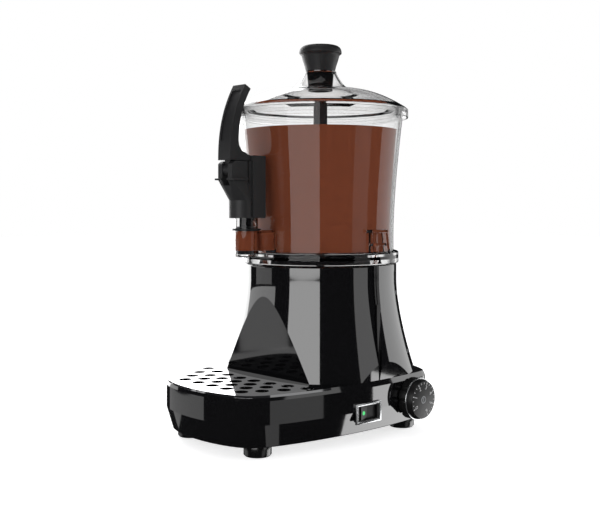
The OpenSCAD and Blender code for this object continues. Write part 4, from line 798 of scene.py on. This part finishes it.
# %% Cap and ring
ladder = []
for side in (-1, 1):
    for step in range(8):
        low_z = 253 + 5.4 * step
        near, far = sorted((side * 12.9, side * 16))
        ladder.append(box_of((near, TAP_Y - 6.6, low_z), (far, TAP_Y - 3.4, low_z + 4)))
settle(carved(copied("tap_cap"), ladder), "tap_cap_moulding", satin_black, "bowl",
       ["tap_cap"], 25)
settle(copied("tap_ring"), "tap_seal_ring", deep_black, "bowl", ["tap_ring"], 25)

# %% Lever
LEVER_FRONT_Y, LEVER_LOW_Z, LEVER_TOP_Z, LEVER_LEAN = -152.5, 315.3, 400.5, 22


def lever_front(z, deep=0.0):
    """A point on the lever's curved front face, or behind it."""
    t = (z - LEVER_LOW_Z) / (LEVER_TOP_Z - LEVER_LOW_Z)
    return LEVER_FRONT_Y + LEVER_LEAN * t ** 2.3 + deep


panel_heights = [337 + (394 - 337) * i / 16 for i in range(17)]
sunk = [(-7.3, lever_front(z, -3), z) for z in panel_heights]
sunk += [(-7.3, lever_front(z, 1.4), z) for z in panel_heights[::-1]]
lever_bm = carved(copied("tap_lever"), [swept(sunk, (14.6, 0, 0))])
settle(lever_bm, "pull_lever", satin_black, "lever", ["tap_lever"], 25)

# %% [markdown]
# ## Switch and dial
# A bright frame trims the rocker switch. The dial has a scalloped skirt, a bright line round
# its rim and a printed scale that runs clockwise from its lower left.

# %% Switch frame
frame_window = box_of((-1, -16.3, -8.4), (4, 16.3, 8.4))
frame_bm = carved(box_of((0.2, -19.25, -11.2), (2.4, 19.25, 11.2)), [frame_window])
soften(frame_bm, 0.5)
settle(placed(frame_bm, SWITCH_PLACE), "switch_frame", silver_trim, "stand",
       ["switch_housing"])
well = carved(box_of((-22, -16.7, -9.2), (1.6, 16.7, 9.2)), [box_of((-13, -14.1, -7.6), (4, 14.1, 7.6))])
terminals = [box_of((-30, y - 3, -0.4), (-22, y + 3, 0.4)) for y in (-10, 0, 10)]
settle(placed(joined([well] + terminals), SWITCH_PLACE), "switch_body", deep_black, "stand",
       ["switch_housing"])

# %% Dial
DIAL_BACK_X, DIAL_FACE_X, DIAL_R = 112.4, 130, 24.5
skirt = rod((DIAL_BACK_X, DIAL_Y, DIAL_Z), (DIAL_BACK_X + 9.8, DIAL_Y, DIAL_Z), DIAL_R - 0.6, segments=120)
grips = []
for i in range(10):
    heading = math.radians(36 * (i + 0.5))
    grip_y, grip_z = DIAL_Y + 26.1 * math.sin(heading), DIAL_Z + 26.1 * math.cos(heading)
    grips.append(rod((DIAL_BACK_X - 1, grip_y, grip_z), (DIAL_BACK_X + 10.8, grip_y, grip_z), 4))
skirt = carved(skirt, grips)
soften(skirt, 0.4)
crown = rod((DIAL_BACK_X + 11.2, DIAL_Y, DIAL_Z), (DIAL_FACE_X, DIAL_Y, DIAL_Z),
            DIAL_R - 1.2, DIAL_R - 3.2, 96)
soften(crown, 0.5)
settle(joined([skirt, crown]), "dial_grip", deep_black, "dial", ["dial"], 25)
line = rod((DIAL_BACK_X + 9.8, DIAL_Y, DIAL_Z), (DIAL_BACK_X + 11.2, DIAL_Y, DIAL_Z), DIAL_R, segments=120)
soften(line, 0.7, 3)
settle(line, "dial_rim_line", silver_trim, "dial", ["dial"], 40)

# %% Dial scale
STEP_DEG, FIRST_DEG, NUMBERS = 46, 209, 7


def on_dial(radius, heading_deg, lift=0.0):
    """A place on the dial's face; 0 degrees is towards the rear, 90 is up."""
    heading = math.radians(heading_deg)
    return at(DIAL_FACE_X + lift, DIAL_Y + radius * math.cos(heading), DIAL_Z + radius * math.sin(heading))


def face_matrix(radius, heading_deg, turn_deg=0.0):
    """Lays a flat thing drawn on X and Y onto the dial's face."""
    upright = Matrix(((0, 0, 1, 0), (1, 0, 0, 0), (0, 1, 0, 0), (0, 0, 0, 1)))
    return Matrix.Translation(on_dial(radius, heading_deg)) @ upright @ Matrix.Rotation(
        math.radians(turn_deg), 4, "Z")


scale_bm = []
for i in range((NUMBERS - 1) * 3 + 1):
    heading = FIRST_DEG - i * STEP_DEG / 3
    long_mark = i % 3 == 0
    tick = bmesh.new()
    size = (2.6 if long_mark else 1.9, 0.9 if long_mark else 0.6, 0.3)
    bmesh.ops.create_cube(tick, size=1)
    bmesh.ops.scale(tick, verts=tick.verts, vec=Vector(size) * MM)
    scale_bm.append(placed(tick, face_matrix(18.9, heading, heading)))
for number in range(NUMBERS):
    words = bpy.data.curves.new("number", "FONT")
    words.body = str(number)
    words.size = 6.4 * MM
    words.extrude = 0.12 * MM
    words.align_x = "CENTER"
    words.align_y = "CENTER"
    drawn = bpy.data.objects.new("number", words)
    bpy.context.scene.collection.objects.link(drawn)
    flat = bpy.data.meshes.new_from_object(drawn.evaluated_get(bpy.context.evaluated_depsgraph_get()))
    digit = bmesh.new()
    digit.from_mesh(flat)
    bpy.data.objects.remove(drawn)
    heading = FIRST_DEG - number * STEP_DEG
    scale_bm.append(placed(digit, face_matrix(14.2, heading, heading - 90)))
settle(joined(scale_bm), "dial_scale", print_white, "dial")
boss_ring = turned([(2.9, -0.15), (4.3, -0.15), (4.3, 0.15), (2.9, 0.15)], 48)
pointer = box_of((-0.6, -2, -0.15), (0.6, 2, 0.15))
boss_mark = placed(joined([boss_ring, pointer]), Matrix.Translation(-at(0, 0, 0)))
settle(placed(boss_mark, face_matrix(0, 0)), "dial_centre_mark", print_grey, "dial")

# %% [markdown]
# ## Finishes of the pieces that keep their imported shape
# Most of these stand inside the machine, and a few show through the tap. Their shape is already
# right, so only their material slot is filled. The spring is painted dark as painted shade, which
# gives the clear tap its dark strips, where a real one would be bright steel.

# %% Imported pieces
KEPT = {
    "base_pan": zinc, "foot_screws": zinc, "cover_screws": zinc, "water_tank": brushed,
    "heating_element": sheath, "thermal_cutout": phenolic, "thermostat": phenolic,
    "thermostat_bulb": copper, "motor_bracket": zinc, "bracket_posts": zinc,
    "gearbox": cast_grey, "motor": zinc, "motor_screws": zinc, "shaft_bush": nylon,
    "terminal_block": nylon, "cable_gland": satin_black, "switch_rocker": deep_black,
    "switch_lens": lamp_green,
    "dial_spindle": zinc, "drive_shaft": brushed, "bowl_floor": brushed,
    "floor_gasket": rubber, "lever_pin": satin_black, "tap_piston": dark_acetal, "piston_rings": rubber,
    # the return spring's gloss black is painted shade that darkens the tap; a real spring is bright steel
    "return_spring": gloss_black, "agitator_sleeve": brushed, "agitator_paddles": nylon,
    "agitator_nut": satin_black, "lid_screw": zinc,
}
for node_name, node_paint in KEPT.items():
    node_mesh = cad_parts[node_name].data
    node_mesh.materials.clear()
    node_mesh.materials.append(node_paint)
print("finished", len(KEPT), "packed nodes")
